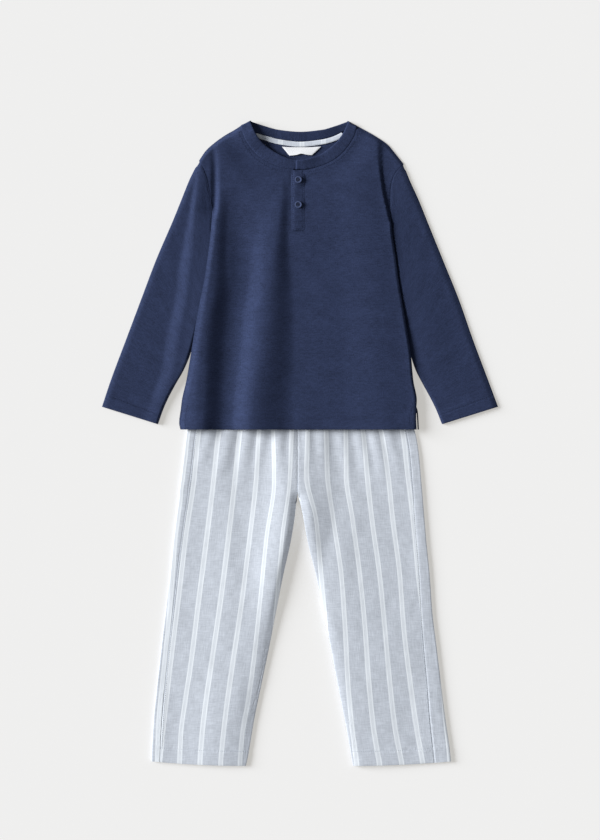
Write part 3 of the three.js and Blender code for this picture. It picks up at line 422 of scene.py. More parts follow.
# Lengthwise folds: crest or valley, height and the width of each flank
FOLD_COLUMNS = ("y", "x", "height", "left", "right")
SIDE_FOLD = Profile(FOLD_COLUMNS, [
    (21.6, -164, 5.4, 30, 42),
    (61, -164, 5.4, 26, 42),
    (149, -158, 5.2, 18, 40),
    (197, -152, 5, 18, 38),
    (245, -147, 4.6, 14, 34),
    (293, -142, 4, 12, 26),
    (341, -137, 3.2, 10, 22),
    (374, -132, 2, 8, 19),
    (412, -129, 0, 8, 16),
])
SIDE_VALLEY = Profile(FOLD_COLUMNS, [
    (21.6, -121, -4.8, 36, 34),
    (61, -119, -4.8, 36, 34),
    (120, -115, -5.2, 38, 36),
    (149, -112, -5.8, 40, 38),
    (197, -107, -6, 42, 40),
    (245, -98, -5.2, 40, 42),
    (293, -94, -4.6, 40, 38),
    (341, -96, -3.4, 36, 40),
    (389, -100, -1.2, 30, 40),
    (424, -100, 0, 30, 40),
])
MIDDLE_FOLD = Profile(FOLD_COLUMNS, [
    (21.6, -76, 10, 34, 66),
    (61, -74, 10, 34, 64),
    (101, -68, 9.8, 36, 60),
    (149, -59, 9.2, 38, 52),
    (197, -54, 8.2, 40, 46),
    (245, -48, 7.4, 38, 38),
    (293, -43, 6, 38, 28),
    (341, -37, 4.2, 36, 20),
    (374, -33, 3, 40, 16),
    (400, -30, 1.8, 44, 14),
    (430, -30, 0, 44, 14),
])
RIGHT_SWELL = Profile(FOLD_COLUMNS, [
    (21.6, 128, 1.6, 60, 50), (200, 122, 2, 60, 42), (380, 100, 1.2, 50, 34), (440, 96, 0, 40, 30),
])
BODY_FOLDS = (SIDE_FOLD, SIDE_VALLEY, MIDDLE_FOLD, RIGHT_SWELL)

# Sleeves: outer silhouette and inner edge, which runs under the body above the trousers
SLEEVE_OUTER = Profile(("y", "left", "right"), [
    (58, -316.8, 316.8),
    (101, -302.4, 300.8),
    (165, -278.4, 276.8),
    (229, -254.4, 254.4),
    (293, -230.4, 228.8),
    (357, -203.2, 203.2),
    (389, -190.4, 190.4),
    (421, -177.6, 176),
    (437, -169.8, 169.6),
    (451.5, -161.9, 163),
])
SLEEVE_INNER = Profile(("y", "left", "right"), [
    (30, -227.2, 227.2),
    (56, -217.8, 216.6),
    (75, -209.1, 207),
    (94, -198.9, 196.6),
    (117, -185.8, 184.8),
    (142, -175.4, 176.4),
    (190, -162, 164),
    (240, -147, 150),
    (290, -133, 137),
    (308, -129, 133),
])
SLEEVE_LOFT = 1.8
SLEEVE_CRUMPLE = 0.8
SLEEVE_CRUMPLE_SHIFT = 300
SLEEVE_INNER_RISE = {"left": 3, "right": 4}
SLEEVE_OUTER_RISE = {"left": 8, "right": 10}
SLEEVE_SEAM_RISE = 30
SLEEVE_FOLD_RISE = 10
UNDER_BODY = {"left": 12, "right": 0}
SLEEVE_FOLDS = {
    "left": (
        Profile(FOLD_COLUMNS, [
            (30, -230, 1.4, 24, 40),
            (85, -211, 4, 24, 60),
            (117, -199, 4.8, 24, 76),
            (149, -194, 5.4, 24, 90),
            (181, -189, 5.8, 24, 90),
            (229, -179, 6, 23, 90),
            (277, -174, 6, 22, 80),
            (325, -169, 5.4, 18, 70),
            (350, -168, 4.6, 14, 56),
            (373, -167, 3.8, 10, 30),
            (430, -160, 1.4, 7, 20),
            (446, -158, 0, 6, 14),
        ]),
        Profile(FOLD_COLUMNS, [
            (90, -176, 0, 26, 60),
            (150, -164, 1.6, 26, 60),
            (229, -151, 1.4, 26, 60),
            (280, -142, 1.2, 26, 60),
            (325, -135, 1, 26, 60),
            (356, -131, 0, 26, 60),
        ]),
    ),
    "right": (
        Profile(FOLD_COLUMNS, [
            (40, 262, 0, 40, 50),
            (100, 222, 1.2, 30, 74),
            (160, 196, 2.4, 26, 80),
            (250, 165, 2.8, 20, 78),
            (320, 152, 2.2, 20, 60),
            (366, 150, 0.8, 20, 40),
            (424, 150, 0, 14, 20),
        ]),
    ),
}

# Shares of the armhole seam and of the cuff's width that belong together
ARMHOLE_SHARES = (0, 0.045, 0.16, 0.3, 0.44, 0.58, 0.72, 0.86, 1)
CUFF_SHARES = (0, 0.045, 0.15, 0.27, 0.39, 0.5, 0.61, 0.71, 0.81)
HIDDEN_CUFF_SHARES = (0.81, 0.9, 0.955, 0.987, 1)
HIDDEN_END_SHARES = (0, 0.35, 0.75, 0.93, 1)
SEAM_REACH = 0.97
BEND_START = 0.35
SLEEVE_EDGE_ROUND = 1.8

# Trousers: outer edges, inner edges below the crotch, and how far in each side seam lies
TROUSERS = Profile(("y", "left", "innerLeft", "innerRight", "right", "seamLeft", "seamRight"), [
    (108.6, -125, -3.8, -3.4, 126, 14, 14),
    (62, -158, -3.8, -3.4, 161, 14, 14),
    (17.6, -180.8, -3.8, -3.4, 184, 14, 14),
    (-20.8, -185.6, -3.8, -3.4, 190.4, 14, 14),
    (-60, -190.6, -3.8, -3.4, 193.8, 14, 14),
    (-73.6, -192.6, -4.2, -3, 195, 13.8, 14),
    (-90, -193.8, -5.6, -0.6, 196.4, 13.5, 14.5),
    (-116.8, -197.4, -8.4, 4.8, 198.6, 13, 15),
    (-155.2, -202.2, -14.4, 11.6, 201.8, 12.5, 15),
    (-212, -208, -27, 25.6, 207.4, 11, 16.5),
    (-270.4, -214.6, -38.4, 37.6, 211.6, 11, 17.5),
    (-328, -221.6, -49.6, 49.4, 218.6, 11.6, 20.3),
    (-385.6, -228, -61.6, 60, 225.6, 12.4, 22),
    (-443, -233.6, -73.4, 71.6, 232.4, 13.2, 24.5),
    (-500.8, -236.8, -83.2, 82, 240, 13.5, 26),
    (-516, -237.2, -86.4, 84.8, 241.4, 13.5, 26),
])
TROUSER_TOP_Y = 108.3
HEM_SLANT = 7
SLANT_START_Y = -380
LEG_LOFT = 2
HIDDEN_LOFT = 0.8
LEG_LOFT_FADE = 90
WALL_ROLL = 0.3
LIT_EDGE = {"low": 0.84, "slope": 16}
SHADED_EDGE = {"low": 0.8, "slope": 11}
CROTCH_HUMP = Profile(FOLD_COLUMNS, [
    (100, -4, 0, 60, 70),
    (20, -4, 2.4, 60, 76),
    (-80, -6, 5.6, 60, 76),
    (-130, -10, 6.4, 60, 70),
    (-200, -24, 5, 60, 60),
    (-280, -40, 1.6, 60, 60),
    (-340, -52, 0, 60, 60),
])
INNER_EDGE_FADE = 14
INSEAM_DROP = 1.2
INSEAM_FADE = 24
INSEAM_START = 0.997
BACK_LEG_INSET = 3.8
EDGE_TURN = 0.3
SEAM_TUCK = 1.4
SEAM_TUCK_DROP = 0.9
LOW_SEAM_TOP_Y = -395
LEG_LENGTH = 620
LEG_WIDTH = 172
BACK_LEG_WIDTH = 170
CENTRE_SEAM_X = -3.6
INSEAMS = {
    "left": [(-54.4, -324.8), (-65.6, -390.4), (-78.4, -430.4)],
    "right": [(84, -500), (82, -470), (78, -440)],
}

# Gathers released from the waist: where each starts and where it has died out
GATHERS = (
    {"topX": -112, "footX": -168, "footY": -60, "height": 1.5, "width": 13},
    {"topX": -92, "footX": -136, "footY": -96, "height": 1.8, "width": 16},
    {"topX": -70, "footX": -100, "footY": -110, "height": 1.8, "width": 15},
    {"topX": -48, "footX": -70, "footY": -70, "height": 1.5, "width": 12},
    {"topX": -28, "footX": -38, "footY": -84, "height": 1.8, "width": 13},
    {"topX": -10, "footX": -14, "footY": -50, "height": 1.2, "width": 8},
    {"topX": 10, "footX": 12, "footY": -60, "height": 1.4, "width": 10},
    {"topX": 32, "footX": 42, "footY": -92, "height": 1.8, "width": 14},
    {"topX": 56, "footX": 82, "footY": -104, "height": 1.8, "width": 15},
    {"topX": 80, "footX": 112, "footY": -84, "height": 1.6, "width": 13},
    {"topX": 100, "footX": 140, "footY": -92, "height": 1.7, "width": 13},
    {"topX": 116, "footX": 166, "footY": -70, "height": 1.4, "width": 12},
)
GATHER_TOP_Y = 108
GATHER_FULL_Y = 40
LEG_SWELLS = {
    "left": Profile(FOLD_COLUMNS, [
        (60, -30, 0.5, 130, 26),
        (-40, -30, 0.8, 140, 26),
        (-74, -32, 1.2, 140, 27),
        (-120, -36, 2.8, 150, 40),
        (-160, -42, 3.6, 150, 54),
        (-212, -50, 4, 150, 60),
        (-300, -72, 3.2, 140, 50),
        (-420, -106, 2.8, 110, 50),
        (-516, -140, 2, 80, 60),
    ]),
    "right": Profile(FOLD_COLUMNS, [
        (-40, 10, 0, 30, 150),
        (-120, 16, 3, 20, 170),
        (-212, 34, 3.8, 20, 170),
        (-300, 52, 3.8, 20, 170),
        (-420, 74, 3.4, 20, 160),
        (-516, 92, 2.6, 20, 150),
    ]),
}
LEG_VALLEY = Profile(FOLD_COLUMNS, [
    (10, -96, 0, 26, 24), (-80, -92, -0.8, 26, 26), (-190, -90, -0.8, 26, 28), (-300, -100, 0, 26, 28),
])

# Centre of each white stripe across a leg's front, from its outer side to its inner side
STRIPE_REPEAT = 33
LEFT_STRIPES = Profile(("y", "first", "second", "third", "fourth", "fifth", "sixth"), [
    (108, -128, -100, -72, -48, -28, -8),
    (24, -161, -128.6, -94.9, -64.6, -43.2, -13),
    (-62, -169.6, -138.6, -104.3, -70.1, -41.1, -16.8),
    (-147, -182.4, -148.6, -113.8, -79.5, -53, -28),
    (-248, -194.1, -161.6, -126.4, -92, -63.2, -36.8),
    (-354, -207.2, -174.6, -141.8, -107.8, -74.4, -46.4),
    (-414, -213.6, -184, -150.6, -116.3, -82.9, -54.4),
    (-466, -219.2, -190.9, -156.6, -122.4, -92.3, -60.8),
    (-509, -224, -192.6, -160, -126.6, -95.8, -65.6),
])
RIGHT_STRIPES = Profile(("y", "first", "second", "third", "fourth", "fifth", "sixth"), [
    (108, 8, 28, 52, 76, 100, 126),
    (18, 12, 41.6, 73.6, 100.8, 129.6, 164),
    (-51, 10.4, 44, 73.6, 107.2, 140.8, 172),
    (-123, 25.8, 53.1, 84, 114.9, 148.3, 180.8),
    (-209, 33.4, 65.9, 95.2, 126.9, 159.4, 188.6),
    (-294, 40.8, 72, 103.7, 135.4, 165.4, 199.2),
    (-380, 45.6, 76.3, 109.8, 143.2, 175.7, 209.6),
    (-451, 51.2, 82.4, 116.8, 151.2, 185.6, 220),
    (-512, 57.6, 90.4, 126.9, 162.7, 196.3, 230.4),
])
STRIPE_NAMES = ("first", "second", "third", "fourth", "fifth", "sixth")
LEG_STRIPES = {"left": LEFT_STRIPES, "right": RIGHT_STRIPES}
BACK_STRIPES = Profile(("y", "left", "right"), [
    (108, 3.2, -9),
    (24, 3.2, -9),
    (-62, 4.2, -9),
    (-147, 4.4, -8),
    (-248, 7.2, -6),
    (-337, 9.6, -3.5),
    (-424, 10, 1),
    (-510, 11.2, 4),
])


def unevenness(x, y, size, seed):
    """Soft seeded bumps from -1 to 1, about this size across."""
    across, along = x / size, y / size
    cell_x, cell_y = np.floor(across), np.floor(along)
    share_x, share_y = smooth(across - cell_x), smooth(along - cell_y)

    def corner(i, j):
        value = np.sin(i * 127.1 + j * 311.7 + seed * 74.7) * 43758.5453
        return 2 * (value - np.floor(value)) - 1

    low = mix(corner(cell_x, cell_y), corner(cell_x + 1, cell_y), share_x)
    high = mix(corner(cell_x, cell_y + 1), corner(cell_x + 1, cell_y + 1), share_x)
    return mix(low, high, share_y)


def fold_height(fold, x, y):
    """Height that a fold adds: a soft bump across, its size read along it."""
    away = x - fold.at("x", y)
    flank = np.where(away < 0, fold.at("left", y), fold.at("right", y))
    share = np.minimum(1, np.abs(away) / flank)
    return fold.at("height", y) * (1 - share * share) ** 2


def distance_to(points, x, y):
    """Distance of places from the nearest of some points."""
    nearest = np.full(np.shape(x), 1e9)
    for px, py in points:
        nearest = np.minimum(nearest, np.hypot(x - px, y - py))
    return nearest


def distance_to_path(path, x, y):
    """Distance of places from a line of straight stretches."""
    nearest = np.full(np.shape(x), 1e9)
    for (ax, ay), (bx, by) in zip(path[:-1], path[1:]):
        length = (bx - ax) ** 2 + (by - ay) ** 2
        share = np.clip(((x - ax) * (bx - ax) + (y - ay) * (by - ay)) / max(length, 1e-9), 0, 1)
        nearest = np.minimum(nearest, np.hypot(x - mix(ax, bx, share), y - mix(ay, by, share)))
    return nearest


def back_under(share, y):
    """Underside of the top's back panel at a share across the body."""
    from_side = np.minimum(share, 1 - share)
    margin = 1 - np.clip((from_side - MARGIN_FLAT) / (MARGIN_END - MARGIN_FLAT), 0, 1)
    fade = 1 - np.clip((y - CHEST_Y) / (SLEEVE_MARGIN_TOP_Y - CHEST_Y), 0, 1)
    past_trousers = np.clip((y - TROUSERS_TOP_Y) / TROUSERS_FADE, 0, 1)
    return mix(OVER_TROUSERS, OVER_SLEEVE * margin * fade, past_trousers)


def side_lines(y):
    """The body's side edges, or the creases above them."""
    below = y < CREASE_FOOT_Y
    left = np.where(below, BODY_SIDES.at("left", y), CREASE.at("left", y))
    right = np.where(below, BODY_SIDES.at("right", y), CREASE.at("right", y))
    return left, right


def neck_lift(x, y):
    """Extra height where the neckband turns over at the left shoulder."""
    share = np.minimum(1, np.hypot(x - NECK_LIFT["x"], y - NECK_LIFT["y"]) / NECK_LIFT["reach"])
    return NECK_LIFT["height"] * (1 - share * share) ** 2


def by_side(x, values):
    """The left side's value where a place is left of the middle, else the right side's."""
    return np.where(x < 0, values["left"], values["right"])


def front_under(x, y):
    """Underside of the top's front panel."""
    from_neck = smooth((distance_to(NECK_POINTS, x, y) - NECK_FLAT) / NECK_RISE)
    folds = sum(fold_height(fold, x, y) for fold in BODY_FOLDS)
    open_height = FRONT_BASE.at("z", y) + mix(NECK_LOFT, BODY_LOFT, from_neck) + folds
    line_height = np.minimum(open_height, by_side(x, {side: CREASE_HEIGHT.at(side, y) for side in SIDES}))
    left, right = side_lines(y)
    inside = np.minimum(x - left, right - x)
    roll = by_side(x, ROLL_WIDTHS)
    height = mix(line_height, open_height, smooth(inside / roll))
    past_crease = mix(line_height, by_side(x, SEAM_HEIGHTS), smooth(-inside / roll))
    height = np.where((y > CREASE_FOOT_Y) & (inside < 0), past_crease, height)
    shoulder = by_side(x, {side: SHOULDER_HEIGHTS[side].at("y", x) for side in SIDES})
    lift = neck_lift(x, y)
    from_shoulder = smooth(SHOULDER_COSINE * (shoulder - y) / SHOULDER_ROLL)
    return mix(EDGE_GAP + SHOULDER_LIFT * lift, height + lift, from_shoulder)


def side_sign(side):
    """-1 on the left, 1 on the right."""
    return -1 if side == "left" else 1


def sleeve_under(side, x, y):
    """Underside of a sleeve's upper layer; the body lies on its inner margin."""
    sign = side_sign(side)
    left, right = side_lines(y)
    body_edge = sign * (left if side == "left" else right)
    inner = np.maximum(body_edge - UNDER_BODY[side], sign * SLEEVE_INNER.at(side, y))
    outer = sign * SLEEVE_OUTER.at(side, y)
    from_inner = smooth((sign * x - inner) / SLEEVE_INNER_RISE[side])
    from_outer = smooth((outer - sign * x) / SLEEVE_OUTER_RISE[side])
    at_seam = (SEAM_HEIGHTS[side] - JERSEY - GAP) * smooth((y - CREASE_FOOT_Y) / SLEEVE_SEAM_RISE)
    room = from_inner * smooth((outer - sign * x) / SLEEVE_FOLD_RISE)
    loft = np.maximum(SLEEVE_LOFT * from_inner, at_seam) * from_outer
    folds = sum(fold_height(fold, x, y) for fold in SLEEVE_FOLDS[side])
    return JERSEY + GAP + loft + folds * room


def gather_height(gather, x, y):
    """Height that a gather adds; it fades out towards its foot."""
    down = (GATHER_FULL_Y - y) / (GATHER_FULL_Y - gather["footY"])
    spread = (GATHER_TOP_Y - y) / (GATHER_TOP_Y - gather["footY"])
    away = x - mix(gather["topX"], gather["footX"], spread)
    share = np.minimum(1, np.abs(away) / gather["width"])
    return gather["height"] * (1 - smooth(down)) * (1 - share * share) ** 2


def inner_column(side):
    """Name of the inner edge's column."""
    return "innerLeft" if side == "left" else "innerRight"


def seam_column(side):
    """Name of the side seam's column."""
    return "seamLeft" if side == "left" else "seamRight"


def edge_share(distance, edge):
    """Share of the full height near a leg's edge, which stands up steeply and then slopes."""
    return rounded(distance, WALL_ROLL) * mix(edge["low"], 1, smooth(distance / edge["slope"]))


def trouser_under(side, x, y):
    """Underside of the trousers' upper layer."""
    outer = np.abs(TROUSERS.at(side, y) - x)
    inner = np.abs(TROUSERS.at(inner_column(side), y) - x)
    below = smooth((CROTCH_Y - y) / INNER_EDGE_FADE)
    near, far = (outer, inner) if side == "left" else (inner, outer)
    near, far = edge_share(near, LIT_EDGE), edge_share(far, SHADED_EDGE)
    edges = near * mix(1, far, below) if side == "left" else far * mix(1, near, below)
    loft = mix(HIDDEN_LOFT, LEG_LOFT, smooth((HEM_Y - y) / LEG_LOFT_FADE))
    swell = sum(fold_height(fold, x, y) for fold in (LEG_SWELLS[side], LEG_VALLEY, CROTCH_HUMP))
    gathers = sum(gather_height(gather, x, y) for gather in GATHERS)
    return CHAMBRAY + GAP + (loft + swell + gathers) * edges


# Meshes

def faces_of(shape, closed, hole):
    """Quads of a grid of points; the first direction may close on itself."""
    index = np.arange(shape[0] * shape[1]).reshape(shape)
    if closed:
        index = np.vstack([index, index[:1]])
    quads = np.stack([index[:-1, :-1], index[1:, :-1], index[1:, 1:], index[:-1, 1:]], axis=-1)
    if hole is not None:
        return quads[~hole]
    return quads.reshape(-1, 4)


def faces_outward(points, quads, facing):
    """True if the quads already face the given way, or outwards where facing is None."""
    a, b, c = (points[quads[:, i]] for i in range(3))
    normals = np.cross(b - a, c - a)
    if facing is None:
        return float((normals * (a - points.mean(0))).sum()) > 0
    return float(normals[:, 2].sum()) * facing > 0


def link_piece(name, mesh, material):
    """Puts a mesh in the scene as a piece that goes with the frame."""
    piece = bpy.data.objects.new(name, mesh)
    bpy.context.scene.collection.objects.link(piece)
    mesh.materials.append(material)
    mesh.shade_smooth()
    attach(piece, "root")
    return piece


def mesh_from_grid(name, points, cloth, seams=None, closed=False, facing=1, hole=None):
    """Makes a mesh from a grid of points in millimetres, with its cloth coordinates in metres."""
    flat = points.reshape(-1, 3)
    quads = faces_of(points.shape[:2], closed, hole)
    if not faces_outward(flat, quads, facing):
        quads = quads[:, ::-1]
    mesh = bpy.data.meshes.new(name)
    mesh.from_pydata((flat * MM).tolist(), [], quads.tolist())
    corners = np.zeros(len(mesh.loops), int)
    mesh.loops.foreach_get("vertex_index", corners)
    layer = mesh.uv_layers.new(name="cloth")
    layer.data.foreach_set("uv", (cloth.reshape(-1, 2)[corners] * MM).astype(np.float32).ravel())
    seams = np.full(len(flat), float(FAR_FROM_SEAM)) if seams is None else seams.ravel()
    distance = np.minimum(seams, FAR_FROM_SEAM)
    attribute = mesh.attributes.new("seam_distance", "FLOAT", "POINT")
    attribute.data.foreach_set("value", distance.astype(np.float32))
    return mesh


def split_edges(piece, angle):
    """Keeps the edges above an angle crisp in smooth shading."""
    piece.modifiers.new("edges", "EDGE_SPLIT").split_angle = angle


def thicken(piece, thickness):
    """Gives a skin the cloth's thickness, inwards from its right side."""
    solid = piece.modifiers.new("cloth", "SOLIDIFY")
    solid.thickness = thickness * MM
    solid.offset = -1
    split_edges(piece, CLOTH_SPLIT)


def cloth_piece(node, points, cloth, material, thickness, **options):
    """A thin shell of cloth that stands for a node of the frame."""
    mesh = mesh_from_grid(node + "_cloth", points, cloth, **options)
    piece = link_piece(node + "_cloth", mesh, material)
    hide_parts(node)
    thicken(piece, thickness)


def border_steps(start, end, count, border):
    """Even steps with a narrow one at both ends, so that the edge can round off."""
    return np.concatenate([[start], np.linspace(start + border, end - border, count), [end]])


def stitches_along(path, skin, sink):
    """Both ends of each stitch of a run, sunk a little into the skin."""
    path = np.asarray(path, float)
    along = np.concatenate([[0], np.cumsum(np.hypot(*np.diff(path, axis=0).T))])
    middles = np.arange(STITCH_SPACING / 2, along[-1] - STITCH_SPACING / 4, STITCH_SPACING)
    ends = []
    for shift in (-0.5, 0.5):
        place = middles + shift * STITCH_LENGTH
        xy = np.stack([np.interp(place, along, path[:, 0]), np.interp(place, along, path[:, 1])], axis=-1)
        ends.append(np.column_stack([xy, skin(xy[:, 0], xy[:, 1]) - sink]))
    return np.stack(ends, axis=1)


def stitching(name, runs, material):
    """All the stitches of a garment in one mesh, each a small thread lying on the cloth."""
    ends = np.concatenate(runs)
    start, end = ends[:, 0], ends[:, 1]
    middle, half = (start + end) / 2, (end - start) / 2
    length = np.linalg.norm(half, axis=1, keepdims=True)
    along = half / length
    across = np.cross(along, [0, 0, 1])
    across /= np.linalg.norm(across, axis=1, keepdims=True)
    up = np.cross(across, along)
    rings = []
    for where, width in STITCH_RINGS:
        centre = middle + along * (2 * where * length)
        for turn in range(4):
            angle = math.pi / 2 * turn
            offset = across * math.cos(angle) + up * math.sin(angle)
            rings.append(centre + offset * STITCH_WIDTH * width + up * STITCH_LIFT * width)
    tips = [start - up * STITCH_TIP_SINK, end - up * STITCH_TIP_SINK]
    points = np.stack(rings + tips, axis=1)
    count = points.shape[1]
    edges = [(turn, (turn + 1) % 4) for turn in range(4)]
    faces = [(ring + a, ring + b, ring + b + 4, ring + a + 4) for ring in (0, 4) for a, b in edges]
    faces += [(12, b, a) for a, b in edges] + [(13, 8 + a, 8 + b) for a, b in edges]
    every = [
        tuple(corner + first for corner in face)
        for first in range(0, len(points) * count, count)
        for face in faces
    ]
    mesh = bpy.data.meshes.new(name)
    mesh.from_pydata((points.reshape(-1, 3) * MM).tolist(), [], every)
    return link_piece(name, mesh, material)


# Materials

class Term:
    """A socket's value in a shader expression."""

    def __init__(self, finish, socket):
        self.finish = finish
        self.socket = socket

    def math(self, operation, *others):
        """A Math node on this value and others."""
        inputs = dict(enumerate((self,) + others))
        node = self.finish.add("ShaderNodeMath", {"operation": operation}, inputs)
        return Term(self.finish, node.outputs[0])

    def __add__(self, other):
        return self.math("ADD", other)

    __radd__ = __add__

    def __mul__(self, other):
        return self.math("MULTIPLY", other)

    __rmul__ = __mul__

    def __sub__(self, other):
        return self.math("SUBTRACT", other)

    def __rsub__(self, other):
        return (self * -1) + other

    def __truediv__(self, other):
        return self.math("DIVIDE", other)

    def __abs__(self):
        return self.math("ABSOLUTE")

    def repeat(self):
        """Fraction within the repeat."""
        return self.math("FRACT")

    def sine(self):
        """Sine of the value."""
        return self.math("SINE")

    def step_down(self, start, end):
        """1 below start, 0 above end, smooth between."""
        inputs = {"Value": self, "From Min": start, "From Max": end, "To Min": 1, "To Max": 0}
        node = self.finish.add("ShaderNodeMapRange", {"interpolation_type": "SMOOTHSTEP"}, inputs)
        return Term(self.finish, node.outputs["Result"])


class Finish:
    """Builds the node tree of one material."""

    def __init__(self, name):
        self.material = bpy.data.materials.new(name)
        self.material.use_nodes = True
        self.tree = self.material.node_tree
        self.tree.nodes.clear()

    def feed(self, socket, value):
        """Sets a socket, or links it to a term or another socket."""
        if isinstance(value, Term):
            self.tree.links.new(value.socket, socket)
        elif isinstance(value, bpy.types.NodeSocket):
            self.tree.links.new(value, socket)
        else:
            socket.default_value = value

    def add(self, kind, settings, inputs):
        """Adds a node: its settings first, then the values and links of its sockets."""
        node = self.tree.nodes.new(kind)
        for name, value in settings.items():
            setattr(node, name, value)
        for name, value in inputs.items():
            self.feed(node.inputs[name], value)
        return node

    def cloth_axes(self):
        """Metres across and along the cloth."""
        place = self.add("ShaderNodeUVMap", {"uv_map": "cloth"}, {})
        parts = self.add("ShaderNodeSeparateXYZ", {}, {"Vector": place.outputs["UV"]})
        return Term(self, parts.outputs["X"]), Term(self, parts.outputs["Y"])

    def attribute(self, name):
        """A value stored on the mesh."""
        node = self.add("ShaderNodeAttribute", {"attribute_name": name}, {})
        return Term(self, node.outputs["Fac"])

    def noise(self, x, y, detail=2.0, roughness=0.5):
        """Noise from 0 to 1 at a place on the cloth."""
        place = self.add("ShaderNodeCombineXYZ", {}, {"X": x, "Y": y})
        inputs = {"Vector": place.outputs["Vector"], "Scale": 1.0, "Detail": detail, "Roughness": roughness}
        node = self.add("ShaderNodeTexNoise", {"noise_dimensions": "2D"}, inputs)
        return Term(self, node.outputs["Fac"])

    def place(self):
        """Place on the piece, in metres."""
        return self.add("ShaderNodeTexCoord", {}, {}).outputs["Object"]

    def grain(self, scale, detail):
        """Noise from 0 to 1 at a place on the piece."""
        inputs = {"Vector": self.place(), "Scale": scale, "Detail": detail}
        return Term(self, self.add("ShaderNodeTexNoise", {}, inputs).outputs["Fac"])

    def blend(self, share, first, second):
        """Mix of two colours."""
        node = self.add("ShaderNodeMix", {"data_type": "RGBA"}, {})
        self.feed(node.inputs[0], share)
        self.feed(node.inputs[6], first)
        self.feed(node.inputs[7], second)
        return node.outputs[2]

    def bump(self, height, distance, strength=1.0):
        """Relief from a height of 0 to 1, this many metres high."""
        inputs = {"Height": height, "Distance": distance, "Strength": strength}
        return self.add("ShaderNodeBump", {}, inputs).outputs["Normal"]

    def surface(self, inputs):
        """The surface shader and the material's output."""
        shader = self.add("ShaderNodeBsdfPrincipled", {}, inputs)
        self.add("ShaderNodeOutputMaterial", {}, {"Surface": shader.outputs[0]})
        return self.material


def linear(color):
    """Linear colour from red, green and blue of 0 to 255."""
    shares = [channel / 255 for channel in color]
    return tuple(c / 12.92 if c <= 0.04045 else ((c + 0.055) / 1.055) ** 2.4 for c in shares) + (1.0,)


def shade(color, factor):
    """A colour made lighter or darker."""
    return tuple(min(1.0, channel * factor) for channel in color[:3]) + (1.0,)


def seam_relief(finish):
    """Shares of the groove at a stitched seam and of the puckers beside it, and the puckers."""
    distance = finish.attribute("seam_distance")
    across, along = finish.cloth_axes()
    near = distance.step_down(*GROOVE_FADE)
    beside = distance.step_down(*PUCKER_FADE)
    puckers = finish.noise(across * 260, along * 260, 1.0)
    return near, beside, puckers


def jersey_material(name, color):
    """Fine cotton jersey with slubs across it."""
    finish = Finish(name)
    across, along = finish.cloth_axes()
    slubs = finish.noise(across * 110, along * 360, 3.0, 0.65)
    mottle = finish.noise(across * 520, along * 620, 2.0)
    cloud = finish.noise(across * 30, along * 60, 2.0)
    near, beside, puckers = seam_relief(finish)
    tone = slubs * 0.8 + mottle * 1.0 + cloud * 0.4 - 0.6 - near * 0.1
    base = finish.blend(tone, shade(color, 0.55), shade(color, 1.45))
    wales = (across * (2 * math.pi / WALE_SPACING)).sine() * 0.5 + 0.5
    height = slubs * 0.3 + mottle * 0.25 + wales * 0.1 - near * 0.6 + beside * puckers * 0.8
    return finish.surface({
        "Base Color": base,
        "Roughness": 0.92,
        "Specular IOR Level": 0.1,
        "Sheen Weight": 0.1,
        "Sheen Roughness": 0.5,
        "Sheen Tint": shade(color, 5),
        "Normal": finish.bump(height, JERSEY_RELIEF),
    })


def chambray_material(name, ground, stripe, repeat):
    """Plain weave with slubs both ways and white stripes along it."""
    finish = Finish(name)
    across, along = finish.cloth_axes()
    weft = finish.noise(across * 70, along * 520, 3.0, 0.65)
    warp = finish.noise(across * 620, along * 60, 2.0, 0.6)
    cloud = finish.noise(across * 60, along * 60, 2.0)
    near, beside, puckers = seam_relief(finish)
    tone = weft * 0.9 + warp * 0.6 + cloud * 0.3 - 0.4
    cloth = finish.blend(tone, shade(ground, 0.76), shade(ground, 1.24))
    place = abs((across / repeat + 0.5).repeat() - 0.5) * (repeat / MM)
    inside = place.step_down(*STRIPE_EDGE)
    core = place.step_down(*STRIPE_CORE)
    stripes = inside * (1 - core * 0.38) * (0.88 + warp * 0.2)
    base = finish.blend(stripes, cloth, stripe)
    base = finish.blend(near * 0.08, base, shade(ground, 0.6))
    height = weft * 0.35 + warp * 0.35 - near * 0.45 + beside * puckers * 0.9
    return finish.surface({
        "Base Color": base,
        "Roughness": 0.9,
        "Specular IOR Level": 0.2,
        "Sheen Weight": 0.08,
        "Sheen Roughness": 0.5,
        "Normal": finish.bump(height, CHAMBRAY_RELIEF),
    })


def satin_material(name, color):
    """White woven satin of the label."""
    finish = Finish(name)
    across, along = finish.cloth_axes()
    weave = finish.noise(across * 2600, along * 500, 1.0)
    base = finish.blend(weave, shade(color, 0.9), shade(color, 1.04))
    return finish.surface({
        "Base Color": base,
        "Roughness": 0.5,
        "Specular IOR Level": 0.12,
        "Sheen Weight": 0.1,
        "Normal": finish.bump(weave, SATIN_RELIEF),
    })


